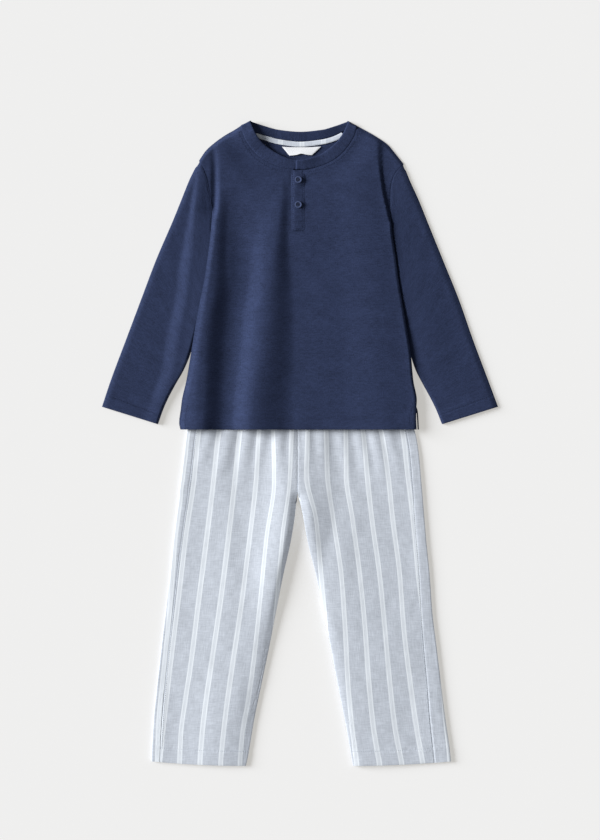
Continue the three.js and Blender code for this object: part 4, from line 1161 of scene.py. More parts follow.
def button_material(name, color):
    """Moulded navy plastic, with a painted highlight on the rim and painted shade in the sunk middle."""
    finish = Finish(name)
    place = finish.place()
    mottle = finish.grain(420.0, 3.0)
    reaches = []
    for y in BUTTON_YS.values():
        centre = (BUTTON_X * MM, y * MM, 0)
        flat = finish.add("ShaderNodeVectorMath", {"operation": "MULTIPLY"}, {0: place, 1: (1, 1, 0)})
        node = finish.add("ShaderNodeVectorMath", {"operation": "DISTANCE"}, {0: flat.outputs[0], 1: centre})
        reaches.append(Term(finish, node.outputs["Value"]))
    reach = reaches[0].math("MINIMUM", reaches[1]) * (1 / MM)
    # The rim ring is painted paler as a highlight, and the middle painted darker as the shade in its recess
    painted_rim_highlight = (1 - reach.step_down(3, 3.8)) * reach.step_down(5, 5.6)
    middle = reach.step_down(1.8, 2.8)
    base = finish.blend(mottle, shade(color, 0.8), shade(color, 1.3))
    base = finish.blend(painted_rim_highlight * 0.8, base, shade(color, 1.9))
    base = finish.blend(middle * 0.8, base, shade(color, 0.25))
    return finish.surface({
        "Base Color": base,
        "Roughness": mottle * 0.2 + 0.5,
        "Specular IOR Level": 0.25,
        "Normal": finish.bump(mottle, PLASTIC_RELIEF),
    })


def thread_material(name, color):
    """Sewing thread, with a twist along it."""
    finish = Finish(name)
    twist = finish.grain(2600.0, 1.0)
    return finish.surface({
        "Base Color": finish.blend(twist, shade(color, 0.75), shade(color, 1.25)),
        "Roughness": 0.9,
        "Specular IOR Level": 0.1,
        "Normal": finish.bump(twist, THREAD_RELIEF),
    })


def floor_material(name, color, glow):
    """Plain pale ground, lit a little from beneath."""
    finish = Finish(name)
    return finish.surface({
        "Base Color": color,
        "Roughness": 1.0,
        "Specular IOR Level": 0.0,
        "Emission Color": glow,
        "Emission Strength": 1.0,
    })


# Sizes and colours that a user would change

def color_setting(name, description, default):
    """A colour that a user can change."""
    return bpy.props.FloatVectorProperty(
        name=name, description=description, subtype="COLOR", size=4, min=0, max=1, default=default,
    )


def length_setting(name, description, least, most, default):
    """A length in metres that a user can change."""
    return bpy.props.FloatProperty(
        name=name, description=description, unit="LENGTH", min=least, max=most, default=default,
    )


class TopSettings(bpy.types.PropertyGroup):
    """Henley top."""

    jersey: color_setting("Jersey", "Colour of the top's jersey", (0.025, 0.0362, 0.0845, 1))
    label: color_setting("Label", "Colour of the neck label", linear((238, 241, 246)))
    button: color_setting("Buttons", "Colour of the buttons", linear((50, 60, 88)))
    cell: length_setting("Cell", "Size of the top's mesh cells", 0.0015, 0.02, 0.0026)


class TrouserSettings(bpy.types.PropertyGroup):
    """Striped trousers."""

    ground: color_setting("Ground", "Colour of the chambray", (0.518, 0.564, 0.64, 1))
    stripe: color_setting("Stripe", "Colour of the stripes", (0.76, 0.815, 0.88, 1))
    repeat: length_setting("Repeat", "Distance from stripe to stripe", 0.01, 0.1, 0.033)
    cell: length_setting("Cell", "Size of the trousers' mesh cells", 0.0015, 0.02, 0.003)


class StageSettings(bpy.types.PropertyGroup):
    """Floor, light and camera."""

    floor: color_setting("Floor", "Colour of the floor", (0.386, 0.402, 0.43, 1))
    glow: color_setting("Glow", "Light that comes up through the floor", (0.474, 0.459, 0.431, 1))
    key_strength: bpy.props.FloatProperty(
        name="Key light", description="Strength of the low light from the left", min=0, max=20, default=7.0,
    )
    key_height: bpy.props.FloatProperty(
        name="Key height", description="Angle of the key light above the floor", subtype="ANGLE",
        min=0.1, max=1.5, default=math.radians(22),
    )
    sky_strength: bpy.props.FloatProperty(
        name="Sky", description="Strength of the light from all round", min=0, max=5, default=0.18,
    )
    camera_height: length_setting("Camera height", "Height of the camera above the floor", 1, 10, 5)


# Henley top

def chest_share(x):
    """Share of the chest's width at a place across it."""
    left, right = BODY_SIDES.at("left", CHEST_Y), BODY_SIDES.at("right", CHEST_Y)
    return float((x - left) / (right - left))


def piecewise(condition, first, second):
    """Rows of points from the first where the condition holds, else from the second."""
    return np.where(np.asarray(condition)[:, None], first, second)


def front_columns(finer):
    """Shares across the body and the points of the top edge that the front's columns run to."""
    slot = [chest_share(x) for x in (SLOT_LEFT, SLOT_RIGHT)]
    left = np.linspace(0, 1, LEFT_CELLS * finer + 1)
    cell = left * LEFT_CELLS
    on_shoulder = SHOULDERS["left"].at(mix(SHOULDER_STRIP, 1, np.clip(cell / SHOULDER_CELLS_LEFT, 0, 1)))
    past = np.clip((cell - SHOULDER_CELLS_LEFT) / (LEFT_CELLS - SHOULDER_CELLS_LEFT), 0, 1)
    on_neck = NECK_SEAMS["left"].at(past)
    left_top = piecewise(cell <= SHOULDER_CELLS_LEFT, on_shoulder, on_neck)
    right = np.linspace(0, 1, RIGHT_CELLS * (finer + 2) + 1)
    cell = right * RIGHT_CELLS
    on_neck = NECK_SEAMS["right"].at(np.clip(cell / NECK_CELLS_RIGHT, 0, 1))
    past = np.clip((cell - NECK_CELLS_RIGHT) / (RIGHT_CELLS - NECK_CELLS_RIGHT), 0, 1)
    on_shoulder = SHOULDERS["right"].at(past * (1 - SHOULDER_STRIP))
    right_top = piecewise(cell <= NECK_CELLS_RIGHT, on_neck, on_shoulder)
    strips = np.array([0, 0.3, 0.65])
    middle = np.linspace(0, 1, 7)[1:-1]
    slot_top = mix(NECK_SEAMS["left"].at(1.0)[None], NECK_SEAMS["right"].at(0.0)[None], middle[:, None])
    shares = np.concatenate([
        strips * EDGE_STRIP,
        mix(EDGE_STRIP, slot[0], left),
        mix(slot[0], slot[1], middle),
        mix(slot[1], 1 - EDGE_STRIP, right**RIGHT_SPREAD),
        (1 - strips * EDGE_STRIP)[::-1],
    ])
    tops = np.concatenate([
        SHOULDERS["left"].at(strips * SHOULDER_STRIP),
        left_top,
        slot_top,
        right_top,
        SHOULDERS["right"].at((1 - strips * SHOULDER_STRIP)[::-1]),
    ])
    slot_cells = np.arange(len(strips) + len(left) - 1, len(strips) + len(left) + len(middle))
    return shares, tops, slot_cells


def body_places(shares, tops, corners, inset, lower_ys, upper_shares):
    """Grid of a body panel: straight rows up to the chest, then rows that bend to the shoulders and neck."""
    def side_point(side, y):
        return BODY_SIDES.at(side, y) - side_sign(side) * inset(side, y)

    share = shares[:, None]
    lower_x = mix(side_point("left", lower_ys)[None], side_point("right", lower_ys)[None], share)
    lower = np.stack([lower_x, np.broadcast_to(lower_ys, lower_x.shape)], axis=-1)
    v = upper_shares[None, :, None]
    chest = lower[:, -1][:, None]
    upper = mix(chest, tops[:, None], v)
    for side, from_side in (("left", share), ("right", 1 - share)):
        seam = ARMHOLES[side].at(upper_shares)
        seam[:, 0] -= side_sign(side) * inset(side, seam[:, 1])
        start = np.array([[side_point(side, CHEST_Y), CHEST_Y]])
        straight = mix(start, corners[side][None], upper_shares[:, None])
        pull = np.clip(1 - SEAM_PULL * from_side, 0, 1)[..., None]
        upper = upper + pull * (seam - straight)[None]
    return np.concatenate([lower, upper], axis=1)


def hem_step(y, foot, depth, height):
    """Extra height of a turned hem."""
    return height * (1 - smooth((y - foot - depth) / HEM_STEP_WIDTH + 0.5))


def offset_line(points, distance):
    """A line moved to its left by a distance."""
    points = np.asarray(points, float)
    tangent = np.gradient(points, axis=0)
    tangent /= np.linalg.norm(tangent, axis=1, keepdims=True)
    return points + distance * np.stack([-tangent[:, 1], tangent[:, 0]], axis=-1)


def dense(points, count=40):
    """A line's points, closer together."""
    return Line(points).at(np.linspace(0, 1, count))


def front_stitch_lines():
    """Stitched lines on the top's front."""
    hem = np.array([(x, HEM_Y + HEM_DEPTH) for x in np.linspace(-180, 174, 60)])
    neck_left = offset_line(NECK_SEAMS["left"].at(np.linspace(0.02, 0.98, 60)), -NECK_STITCH_OFFSET)
    neck_right = offset_line(NECK_SEAMS["right"].at(np.linspace(0.06, 0.98, 50)), -NECK_STITCH_OFFSET)
    return [hem, neck_left, neck_right, dense(FRONT_VENT_LEFT), dense(FRONT_VENT_RIGHT)]


def jersey_crumple(x, y):
    """Small unevenness of laid jersey."""
    return (
        0.34 * unevenness(x, y * 0.7, 46, 1)
        + 0.16 * unevenness(x + 11, y * 0.8, 21, 2)
        + 0.06 * unevenness(x, y, 9, 3)
    )


def front_skin(x, y):
    """Right side of the top's front."""
    hem = hem_step(y, HEM_Y, HEM_DEPTH, HEM_HEIGHTS["front"])
    return front_under(x, y) + JERSEY + hem + jersey_crumple(x, y)


def least_distance(lines, x, y):
    """Distance from the nearest of some lines."""
    return np.min([distance_to_path(line, x, y) for line in lines], axis=0)


def seam_drop(distance, depth, width):
    """How far cloth sinks beside a seam."""
    return depth * (1 - smooth(distance / width))


def make_front(settings, jersey):
    """The front panel, slit down from the neck for the placket."""
    shares, tops, slot_cells = front_columns(FINER_CELLS)
    count = round((CHEST_Y - HEM_Y) / (settings.cell / MM))
    lower = np.concatenate([[HEM_Y, HEM_Y + 0.7], np.linspace(HEM_Y + 2, CHEST_Y, count)])
    upper = np.concatenate([np.linspace(0, 0.98, 52)[1:], [0.99, 1]])
    corners = {"left": SHOULDERS["left"].at(0.0), "right": SHOULDERS["right"].at(1.0)}
    places = body_places(shares, tops, corners, lambda side, y: 0 * y, lower, upper)
    x, y = places[..., 0], places[..., 1]
    from_side = np.minimum(shares, 1 - shares)[:, None] * (x[-1] - x[0])[None]
    closing = smooth((y - VENT_TOP_Y) / 6) * (y < CHEST_Y)
    beside = smooth(1 - np.abs(x - PLACKET_LEFT) / 3) * smooth((y - PLACKET_FOOT) / 4)
    z = front_skin(x, y) - PLACKET_GROOVE * beside - closing * seam_drop(from_side, *BODY_SIDE_DROP)
    z = z - seam_drop(least_distance(ARMHOLE_LINES, x, y), *ARMHOLE_DROP)
    z = z - seam_drop(least_distance(NECK_LINES, x, y), *NECK_DROP) - seam_drop(y - HEM_Y, *HEM_DROP)
    seams = least_distance(front_stitch_lines() + ARMHOLE_LINES, x, y)
    hole = np.zeros((len(shares) - 1, len(lower) + len(upper) - 1), bool)
    hole[slot_cells, len(lower) - 1:] = True
    points = np.stack([x, y, z], axis=-1)
    cloth_piece("top_front", points, places, jersey, JERSEY_CLOTH, seams=seams, hole=hole)


def moved(start, towards, distance):
    """Points moved by a distance towards others."""
    way = towards - start
    return start + way * (distance / np.linalg.norm(way, axis=-1, keepdims=True))


def back_tops(shares):
    """Points of the back's top edge: shoulder, neckline, shoulder."""
    t = np.clip((shares - MARGIN_END) / (1 - 2 * MARGIN_END), *BACK_NECK_SHARES)
    tops = moved(BACK_NECK_SEAM.at(t), BACK_NECK_EDGE.at(t), NECK_TUCK)
    ends = {"left": tops[0].copy(), "right": tops[-1].copy()}
    middles = {"left": BACK_SHOULDER_MIDDLE, "right": 1 - BACK_SHOULDER_MIDDLE}
    corners = {}
    for side in SIDES:
        sign = side_sign(side)
        seam = ARMHOLES[side].at(1.0)
        corners[side] = seam - np.array([sign * BACK_INSET.at(side, seam[1]), 0])
        inward = SHOULDER_INSET * np.array([-sign * SHOULDER_SINE, -SHOULDER_COSINE])
        line = np.array([corners[side], SHOULDERS[side].at(middles[side]) + inward, ends[side]])
        from_side = shares if side == "left" else 1 - shares
        keys = (0, MARGIN_FLAT, MARGIN_END)
        straight = np.stack([np.interp(from_side, keys, line[:, axis]) for axis in (0, 1)], axis=-1)
        tops = piecewise(from_side < MARGIN_END, straight, tops)
    return tops, corners


def make_back(settings, jersey):
    """The back panel, cut out for the back of the neckband."""
    cell = 1.5 * settings.cell / MM
    shares = np.concatenate([
        [0, 0.003, 0.02],
        np.linspace(MARGIN_FLAT / 2, 1 - MARGIN_FLAT / 2, round(360 / cell)),
        [0.98, *VENT_GAP, 0.998, 1],
    ])
    tops, corners = back_tops(shares)
    lower = np.concatenate([[HEM_Y, HEM_Y + 0.7], np.linspace(HEM_Y + 2.5, CHEST_Y, round(316 / cell))])
    upper = np.concatenate([np.linspace(0, 0.98, round(140 / cell))[1:], [1]])
    places = body_places(shares, tops, corners, BACK_INSET.at, lower, upper)
    x, y = places[..., 0], places[..., 1]
    share = np.broadcast_to(shares[:, None], x.shape)
    hem = hem_step(y, HEM_Y, HEM_DEPTH, HEM_HEIGHTS["back"])
    z = back_under(share, y) - hem + BACK_CLEARANCE
    line = np.array([(px, HEM_Y + HEM_DEPTH) for px in np.linspace(-188, 188, 20)])
    seams = distance_to_path(line, x, y)
    hole = np.zeros((len(shares) - 1, places.shape[1] - 1), bool)
    hole[-3, :len(lower) - 1] = lower[1:] < VENT_GAP_TOP_Y
    points = np.stack([x, y, z], axis=-1)
    cloth_piece("top_back", points, places, jersey, JERSEY_CLOTH, seams=seams, facing=-1, hole=hole)


def sleeve_places(side, v, share):
    """Places of a sleeve at shares along it and across it."""
    sign = side_sign(side)
    seam_share = np.interp(share, CUFF_SHARES, ARMHOLE_SHARES)
    seam = ARMHOLES[side].at(1 - seam_share) - np.array([sign * ARMHOLE_TUCK, 0])
    start = ARMHOLES[side].at(0.0) - np.array([sign * ARMHOLE_TUCK, 0])
    underarm = np.array([SLEEVE_INNER.at(side, UNDERARM_Y), UNDERARM_Y])
    hidden_share = np.interp(share, HIDDEN_CUFF_SHARES, HIDDEN_END_SHARES)[..., None]
    end = np.where((share > CUFF_SHARES[-1])[..., None], mix(start, underarm, hidden_share), seam)
    shoulder = ARMHOLES[side].at(1.0)
    outer_y = mix(CUFF_OUTER_Y, shoulder[1], v)
    inner_y = mix(CUFF_INNER_Y, underarm[1], v)
    at_seam = smooth((v - SEAM_REACH) / (1 - SEAM_REACH))
    outer = np.stack([mix(SLEEVE_OUTER.at(side, outer_y), shoulder[0], at_seam), outer_y], axis=-1)
    inner = np.stack([SLEEVE_INNER.at(side, inner_y), inner_y], axis=-1)
    bend = smooth((v - BEND_START) / (1 - BEND_START))[..., None]
    share = share[..., None]
    places = mix(outer, inner, share) + bend * (end - mix(shoulder, underarm, share))
    return places, np.linalg.norm(outer - inner, axis=-1)


def sleeve_skin(side, x, y):
    """Right side of a sleeve's upper layer."""
    return sleeve_under(side, x, y) + JERSEY + SLEEVE_CRUMPLE * jersey_crumple(x + SLEEVE_CRUMPLE_SHIFT, y)


def cuff_line(side, shares):
    """The cuff's stitched line at shares across the sleeve."""
    return sleeve_places(side, np.full(np.shape(shares), CUFF_HEM / SLEEVE_LENGTH), shares)[0]


def make_sleeve(side, settings, jersey):
    """One sleeve: a flattened tube from cuff to armhole."""
    cell = settings.cell / MM
    edge = np.array([0, 0.004, 0.011, 0.022, 0.036])
    across = np.concatenate([edge, np.linspace(0.055, 0.945, round(88 / cell)), 1 - edge[::-1]])
    back = across[::-1][1:-1:2]
    loop = np.concatenate([across, back])
    is_top = np.arange(len(loop)) < len(across)
    stations = np.concatenate([[0, 0.002], np.linspace(0.005, 0.97, round(400 / cell)), [0.982, 0.992, 1]])
    share, v = np.meshgrid(loop, stations, indexing="ij")
    places, width = sleeve_places(side, v, share)
    x, y = places[..., 0], places[..., 1]
    from_edge = np.minimum(share, 1 - share) * width
    rounding = rounded(from_edge, SLEEVE_EDGE_ROUND)
    middle = JERSEY + GAP / 2
    up_sleeve = v * SLEEVE_LENGTH
    armhole = distance_to_path(ARMHOLE_LINES[SIDES.index(side)], x, y)
    hem = HEM_HEIGHTS["cuff"] * smooth((CUFF_HEM - up_sleeve) / 2)
    top = sleeve_skin(side, x, y) - seam_drop(armhole, *ARMHOLE_DROP) + hem - seam_drop(up_sleeve, *HEM_DROP)
    z = mix(middle, np.where(is_top[:, None], top, LYING_HEIGHT), rounding)
    seams = np.minimum(distance_to_path(cuff_line(side, np.linspace(0, 1, 24)), x, y), armhole)
    around = np.where(is_top[:, None], share, 2 - share) * width
    cloth = np.stack([around, up_sleeve], axis=-1)
    points = np.stack([x, y, z], axis=-1)
    options = {"seams": seams, "closed": True, "facing": None}
    cloth_piece("top_sleeve_" + side, points, cloth, jersey, SLEEVE_CLOTH, **options)


def band_stations():
    """Places along the neckband, from its under end round the back of the neck to its lapped end."""
    front = FRONT_BAND_HEIGHT + BAND / 2 - BAND_SETTLE
    back = BAND / 2
    radius = (front - back) / 2
    rows = []

    def add(edge, seam, z, normal, tilt=0.0, lifted=1.0):
        ends = [np.array([*place, z + lifted * neck_lift(*place)], float) for place in (edge, seam)]
        ends[0][2] += tilt
        rows.append((ends[0], ends[1], np.array(normal, float)))

    def turn(share, sign):
        edge, seam = BACK_NECK_EDGE.at(share), BACK_NECK_SEAM.at(share)
        along = (seam - edge) / np.linalg.norm(seam - edge)
        outward = np.array([sign * abs(along[1]), abs(along[0])])
        for degrees in TURN_ANGLES if sign < 0 else TURN_ANGLES[::-1]:
            angle = math.radians(degrees)
            shift = outward * radius * math.sin(angle)
            height = back + radius + radius * math.cos(angle)
            normal = [*(outward * math.sin(angle)), math.cos(angle)]
            lifted = mix(BACK_LIFT, 1, (1 + math.cos(angle)) / 2)
            add(edge + shift, seam + shift, height, normal, lifted=lifted)

    up, down = (0, 0, 1), (0, 0, -1)
    for x in np.linspace(6, -9, 6):
        add((x, BAND_END_YS[0]), (x, BAND_END_YS[1]), front, up, FRONT_BAND_TILT["left"])
    for t in np.linspace(1, 0, 46):
        seam, edge = NECK_SEAMS["left"].at(t), NECK_EDGES["left"].at(t)
        trim = mix(EDGE_GAP, BAND_CORNER_TRIM, smooth(1 - t / 0.06))
        tilt = FRONT_BAND_TILT["left"] * float(smooth(t / 0.2))
        add(edge, moved(seam, edge, trim - BAND_OVERLAP), front, up, tilt)
    turn(0.0, -1)
    for t in np.linspace(0, 1, 42):
        tilt = BACK_BAND_TILT * float(smooth(min(t / 0.5, (1 - t) / 0.2)))
        add(BACK_NECK_EDGE.at(t), BACK_NECK_SEAM.at(t), back, down, tilt, BACK_LIFT)
    turn(1.0, 1)
    for t in np.linspace(1, 0, 34):
        seam, edge = NECK_SEAMS["right"].at(t), NECK_EDGES["right"].at(t)
        lift = BAND_LAP * float(1 - smooth((seam[0] - PLACKET_RIGHT) / LAP_RAMP))
        trim = mix(EDGE_GAP, BAND_CORNER_TRIM, smooth(1 - (1 - t) / 0.06))
        tilt = mix(FRONT_BAND_TILT["left"], FRONT_BAND_TILT["right"], float(smooth(t / 0.3)))
        tilt = tilt * float(smooth((1 - t) / 0.2))
        add(edge, moved(seam, edge, trim - BAND_OVERLAP), front + lift, up, tilt)
    for share in np.linspace(0, 1, 5)[1:]:
        edge, seam = (mix(np.array(start), np.array(end), share) for start, end in (LAP_EDGE, LAP_SEAM))
        add(edge, seam, front + BAND_LAP, up, FRONT_BAND_TILT["left"])
    return rows


def make_neckband(jersey):
    """The neckband: one folded strip, its ends lapped at the centre front."""
    loops = [
        [mix(edge, seam, a) + normal * n * BAND / 2 for a, n in BAND_SECTION]
        for edge, seam, normal in band_stations()
    ]
    points = np.array(loops).transpose(1, 0, 2)
    along = np.concatenate([[0], np.cumsum(np.linalg.norm(np.diff(points[5], axis=0), axis=1))])
    half = BAND_GIRTH / 2
    around = np.array([(1 - a) * half if n >= 0 else (1 + a) * half for a, n in BAND_SECTION])
    cloth = np.stack(np.meshgrid(around, along, indexing="ij"), axis=-1)
    from_seam = np.array([(1 - a) * half for a, _ in BAND_SECTION])
    seams = np.broadcast_to(from_seam[:, None], points.shape[:2])
    mesh = mesh_from_grid("top_neckband_cloth", points, cloth, seams=seams, closed=True, facing=None)
    cap_ends(mesh, points.shape[:2])
    piece = link_piece("top_neckband_cloth", mesh, jersey)
    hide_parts("top_neckband")


def cap_ends(mesh, shape):
    """Closes both ends of a tube made from a closed grid."""
    index = np.arange(shape[0] * shape[1]).reshape(shape)
    build = bmesh.new()
    build.from_mesh(mesh)
    build.verts.ensure_lookup_table()
    for column in (0, -1):
        build.faces.new([build.verts[i] for i in index[:, column]])
    bmesh.ops.recalc_face_normals(build, faces=build.faces)
    build.to_mesh(mesh)
    build.free()


def placket_stitch_lines():
    """Stitched lines on the placket: down both sides and across its foot twice."""
    left, right = PLACKET_LEFT + 2, PLACKET_RIGHT - 3.2
    sides = [dense([(x, y) for y in PLACKET_SIDE_YS]) for x in (left, right)]
    return sides + [dense([(x, y) for x in (left, -3, right)], 12) for y in PLACKET_BOX_YS]


def over_skin(x, y):
    """Right side of the placket's over strip; it swells under the buttons."""
    widths = PLACKET_SETTLE_WIDTHS
    to_right = smooth((x - PLACKET_LEFT - widths["start"]) / widths["right"])
    to_top = smooth((y - PLACKET_TOP) / widths["top"] + 1)
    settled = PLACKET_SETTLE["all"] + PLACKET_SETTLE["right"] * to_right + PLACKET_SETTLE["top"] * to_top
    mound = sum(
        BUTTON_MOUNDS[name] * (1 - smooth((np.hypot(x - BUTTON_X, y - place) - BUTTON_RADIUS) / MOUND_SLOPE))
        for name, place in BUTTON_YS.items()
    )
    return front_under(x, y) + 2 * JERSEY + EDGE_GAP - settled + mound + jersey_crumple(x, y)


def make_placket(jersey):
    """The two placket strips: the under one fills the slit, the over one covers it."""
    def under_skin(x, y):
        return front_under(x, y) + JERSEY + jersey_crumple(x, y)

    def folded_skin(x, y):
        return over_skin(x, y) - PLACKET_FOLD * (1 - smooth((x - PLACKET_LEFT) / PLACKET_FOLD_WIDTH))

    strips = (
        ("top_placket_under", SLOT_LEFT + 0.1, SLOT_RIGHT - 0.1, CHEST_Y + 0.1, under_skin),
        ("top_placket_over", PLACKET_LEFT, PLACKET_RIGHT, PLACKET_FOOT, folded_skin),
    )
    for node, left, right, foot, skin in strips:
        across, along = border_steps(left, right, 14, 0.6), border_steps(foot, PLACKET_TOP, 60, 0.6)
        x, y = np.meshgrid(across, along, indexing="ij")
        edge = np.minimum(np.minimum(x - left, right - x), y - foot)
        points = np.stack([x, y, skin(x, y) - seam_drop(edge, *PLACKET_DROP)], axis=-1)
        seams = least_distance(placket_stitch_lines(), x, y)
        cloth_piece(node, points, points[..., :2], jersey, JERSEY_CLOTH, seams=seams)


def make_tape(tape):
    """Striped tape over the back neck seam."""
    t = np.linspace(*TAPE_SHARES, 60)
    down = np.array(TAPE_ROWS)[:, None]
    seam, edge = BACK_NECK_SEAM.at(t), BACK_NECK_EDGE.at(t)
    way = (edge - seam) / np.linalg.norm(edge - seam, axis=-1, keepdims=True)
    places = seam[None] - way[None] * (down[..., None] * TAPE_WIDTH - TAPE_OVERLAP)
    z = np.broadcast_to(JERSEY + GAP + TRIM - 0.35 * (np.abs(down - 0.5) > 0.45), places.shape[:2])
    cloth = places - np.array([3, 0])
    cloth_piece("top_neck_tape", np.dstack([places, z]), cloth, tape, TAPE_CLOTH)


def make_label(satin):
    """The bare label, its sides folded in."""
    share, down = np.meshgrid(border_steps(0, 1, 18, 0.015), border_steps(0, 1, 7, 0.04), indexing="ij")
    x, y = (mix(LABEL_FOOT.at(axis, share), LABEL_TOP.at(axis, share), down) for axis in ("x", "y"))
    z = JERSEY + GAP + TRIM + 0.3 + 0.7 * np.sin(math.pi * share) * (1 - down)
    z = z - 0.2 * (np.abs(share - 0.5) > 0.49)
    points = np.stack([x, y, z], axis=-1)
    cloth_piece("top_neck_label", points, points[..., :2], satin, LABEL_CLOTH)


def make_button_thread(name, y, top, thread):
    """Thread that crosses a button's four holes."""
    curve = bpy.data.curves.new("button_thread_" + name, "CURVE")
    curve.dimensions = "3D"
    curve.bevel_depth = THREAD_RADIUS
    curve.bevel_resolution = 2
    for sign in (-1, 1):
        spline = curve.splines.new("POLY")
        spline.points.add(len(THREAD_PATH) - 1)
        for point, (share, height) in zip(spline.points, THREAD_PATH):
            along = share * THREAD_REACH
            point.co = (BUTTON_X * MM + along, y * MM + along * sign, top - THREAD_SINK + height, 1)
    curve.materials.append(thread)
    piece = bpy.data.objects.new(curve.name, curve)
    bpy.context.scene.collection.objects.link(piece)
    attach(piece, "root")


def make_buttons(plastic, thread):
    """The buttons keep their turned shape; each is sewn on with crossed thread."""
    for name, y in BUTTON_YS.items():
        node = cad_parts["top_button_" + name]
        node.data.materials.clear()
        node.data.materials.append(plastic)
        node.data.shade_smooth()
        split_edges(node, BUTTON_SPLIT)
        make_button_thread(name, y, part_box("top_button_" + name)[1].z, thread)


def top_stitch_runs():
    """Every run of stitches on the top."""
    lines = front_stitch_lines()
    lines.append(offset_line(lines[0], -HEM_ROW_SPACING))
    runs = [stitches_along(line, front_skin, STITCH_SINKS["front"]) for line in lines]
    runs += [stitches_along(line, over_skin, STITCH_SINKS["placket"]) for line in placket_stitch_lines()]
    for side in SIDES:
        line = cuff_line(side, np.linspace(0.05, 0.95, 40))
        runs.append(stitches_along(line, lambda x, y, s=side: sleeve_skin(s, x, y), STITCH_SINKS["sleeve"]))
    return runs


# Trousers

def slanted(y, from_outer):
    """A leg's rows slant up towards the outer edge near the hem."""
    near = smooth((SLANT_START_Y - y) / (SLANT_START_Y - TROUSER_FOOT_Y))
    return y + near * HEM_SLANT * (1 - from_outer) ** 2


def stripe_place(side, x, y):
    """Millimetres across the cloth, counted in stripes from the outermost one of the leg's front."""
    centres = [LEG_STRIPES[side].at(name, y) for name in STRIPE_NAMES]
    place = np.zeros(np.shape(x))
    for i, (low, high) in enumerate(zip(centres, centres[1:])):
        share = (x - low) / (high - low)
        place = np.where(share >= 0, i + share, place) if i else share
    return place * STRIPE_REPEAT


def chambray_crumple(x, y):
    """Small unevenness of laid chambray, longer down the leg than across it."""
    return (
        0.4 * unevenness(x, y * 0.4, 34, 5)
        + 0.2 * unevenness(x + 7, y * 0.6, 16, 6)
        + 0.07 * unevenness(x, y, 8, 7)
    )


def trouser_skin(side, x, y):
    """Right side of a leg's upper layer."""
    outer = np.abs(TROUSERS.at(side, y) - x)
    crumple = chambray_crumple(x, y) * smooth(outer / 6)
    hem = hem_step(y, TROUSER_FOOT_Y, TROUSER_HEM_Y - TROUSER_FOOT_Y, HEM_HEIGHTS["trousers"])
    return trouser_under(side, x, y) + CHAMBRAY + crumple + hem


def below_crotch(y):
    """0 above the crotch, 1 well below it."""
    return smooth((CROTCH_Y - y) / INSEAM_FADE)


def seam_line(side, count=80):
    """The side seam on a leg's front."""
    y = np.linspace(TROUSER_TOP_Y, TROUSER_FOOT_Y, count)
    return np.stack([TROUSERS.at(side, y) - side_sign(side) * TROUSERS.at(seam_column(side), y), y], axis=-1)


def leg_hem_line(side, count=50):
    """The hem's stitched line across a leg."""
    share = np.linspace(0.01, 0.99, count)
    y = TROUSER_HEM_Y
    x = mix(TROUSERS.at(side, y), TROUSERS.at(inner_column(side), y), share)
    return np.stack([x, slanted(y, share)], axis=-1)


def low_seam(side):
    """The lower part of a side seam, where it shows as a line."""
    line = seam_line(side)
    return line[line[:, 1] < LOW_SEAM_TOP_Y]


def leg_rows(cell):
    """Levels of a leg's rows of points, closer together at the foot."""
    even = np.linspace(TROUSER_TOP_Y, TROUSER_FOOT_Y + 2.5, round(LEG_LENGTH / cell))
    return np.concatenate([even, [TROUSER_FOOT_Y + 0.7, TROUSER_FOOT_Y]])


def make_leg_front(side, settings, chambray):
    """Front of a leg, from its side seam to the centre seam or the inseam."""
    cell = settings.cell / MM
    even = np.linspace(0.02, 0.98, round(LEG_WIDTH / cell))
    shares = np.concatenate([[0, 0.006], even, [0.993, 0.9977, 0.9993, 1]])
    share, row = np.meshgrid(shares, leg_rows(cell), indexing="ij")
    outer = TROUSERS.at(side, row)
    inner = mix(CENTRE_SEAM_X, TROUSERS.at(inner_column(side), row), below_crotch(row))
    seam = outer - side_sign(side) * TROUSERS.at(seam_column(side), row)
    x = mix(seam, inner, share)
    y = slanted(row, (x - outer) / (inner - outer))
    below = below_crotch(row)
    from_centre = np.abs(x - inner)
    z = trouser_skin(side, x, row) - seam_drop(np.abs(x - seam), *SIDE_SEAM_DROP)
    z = z - INSEAM_DROP * below * smooth((share - INSEAM_START) / (1 - INSEAM_START))
    z = z - (1 - below) * seam_drop(from_centre, *CENTRE_SEAM_DROP)
    z = z - seam_drop(row - TROUSER_FOOT_Y, *LEG_HEM_DROP)
    lines = [leg_hem_line(side), low_seam(side), dense(INSEAMS[side], 12)]
    seams = np.minimum(least_distance(lines, x, y), from_centre + FAR_FROM_SEAM * below)
    cloth = np.stack([stripe_place(side, x, y), y], axis=-1)
    points = np.stack([x, y, z], axis=-1)
    cloth_piece("trouser_front_" + side, points, cloth, chambray, CHAMBRAY_CLOTH, seams=seams)


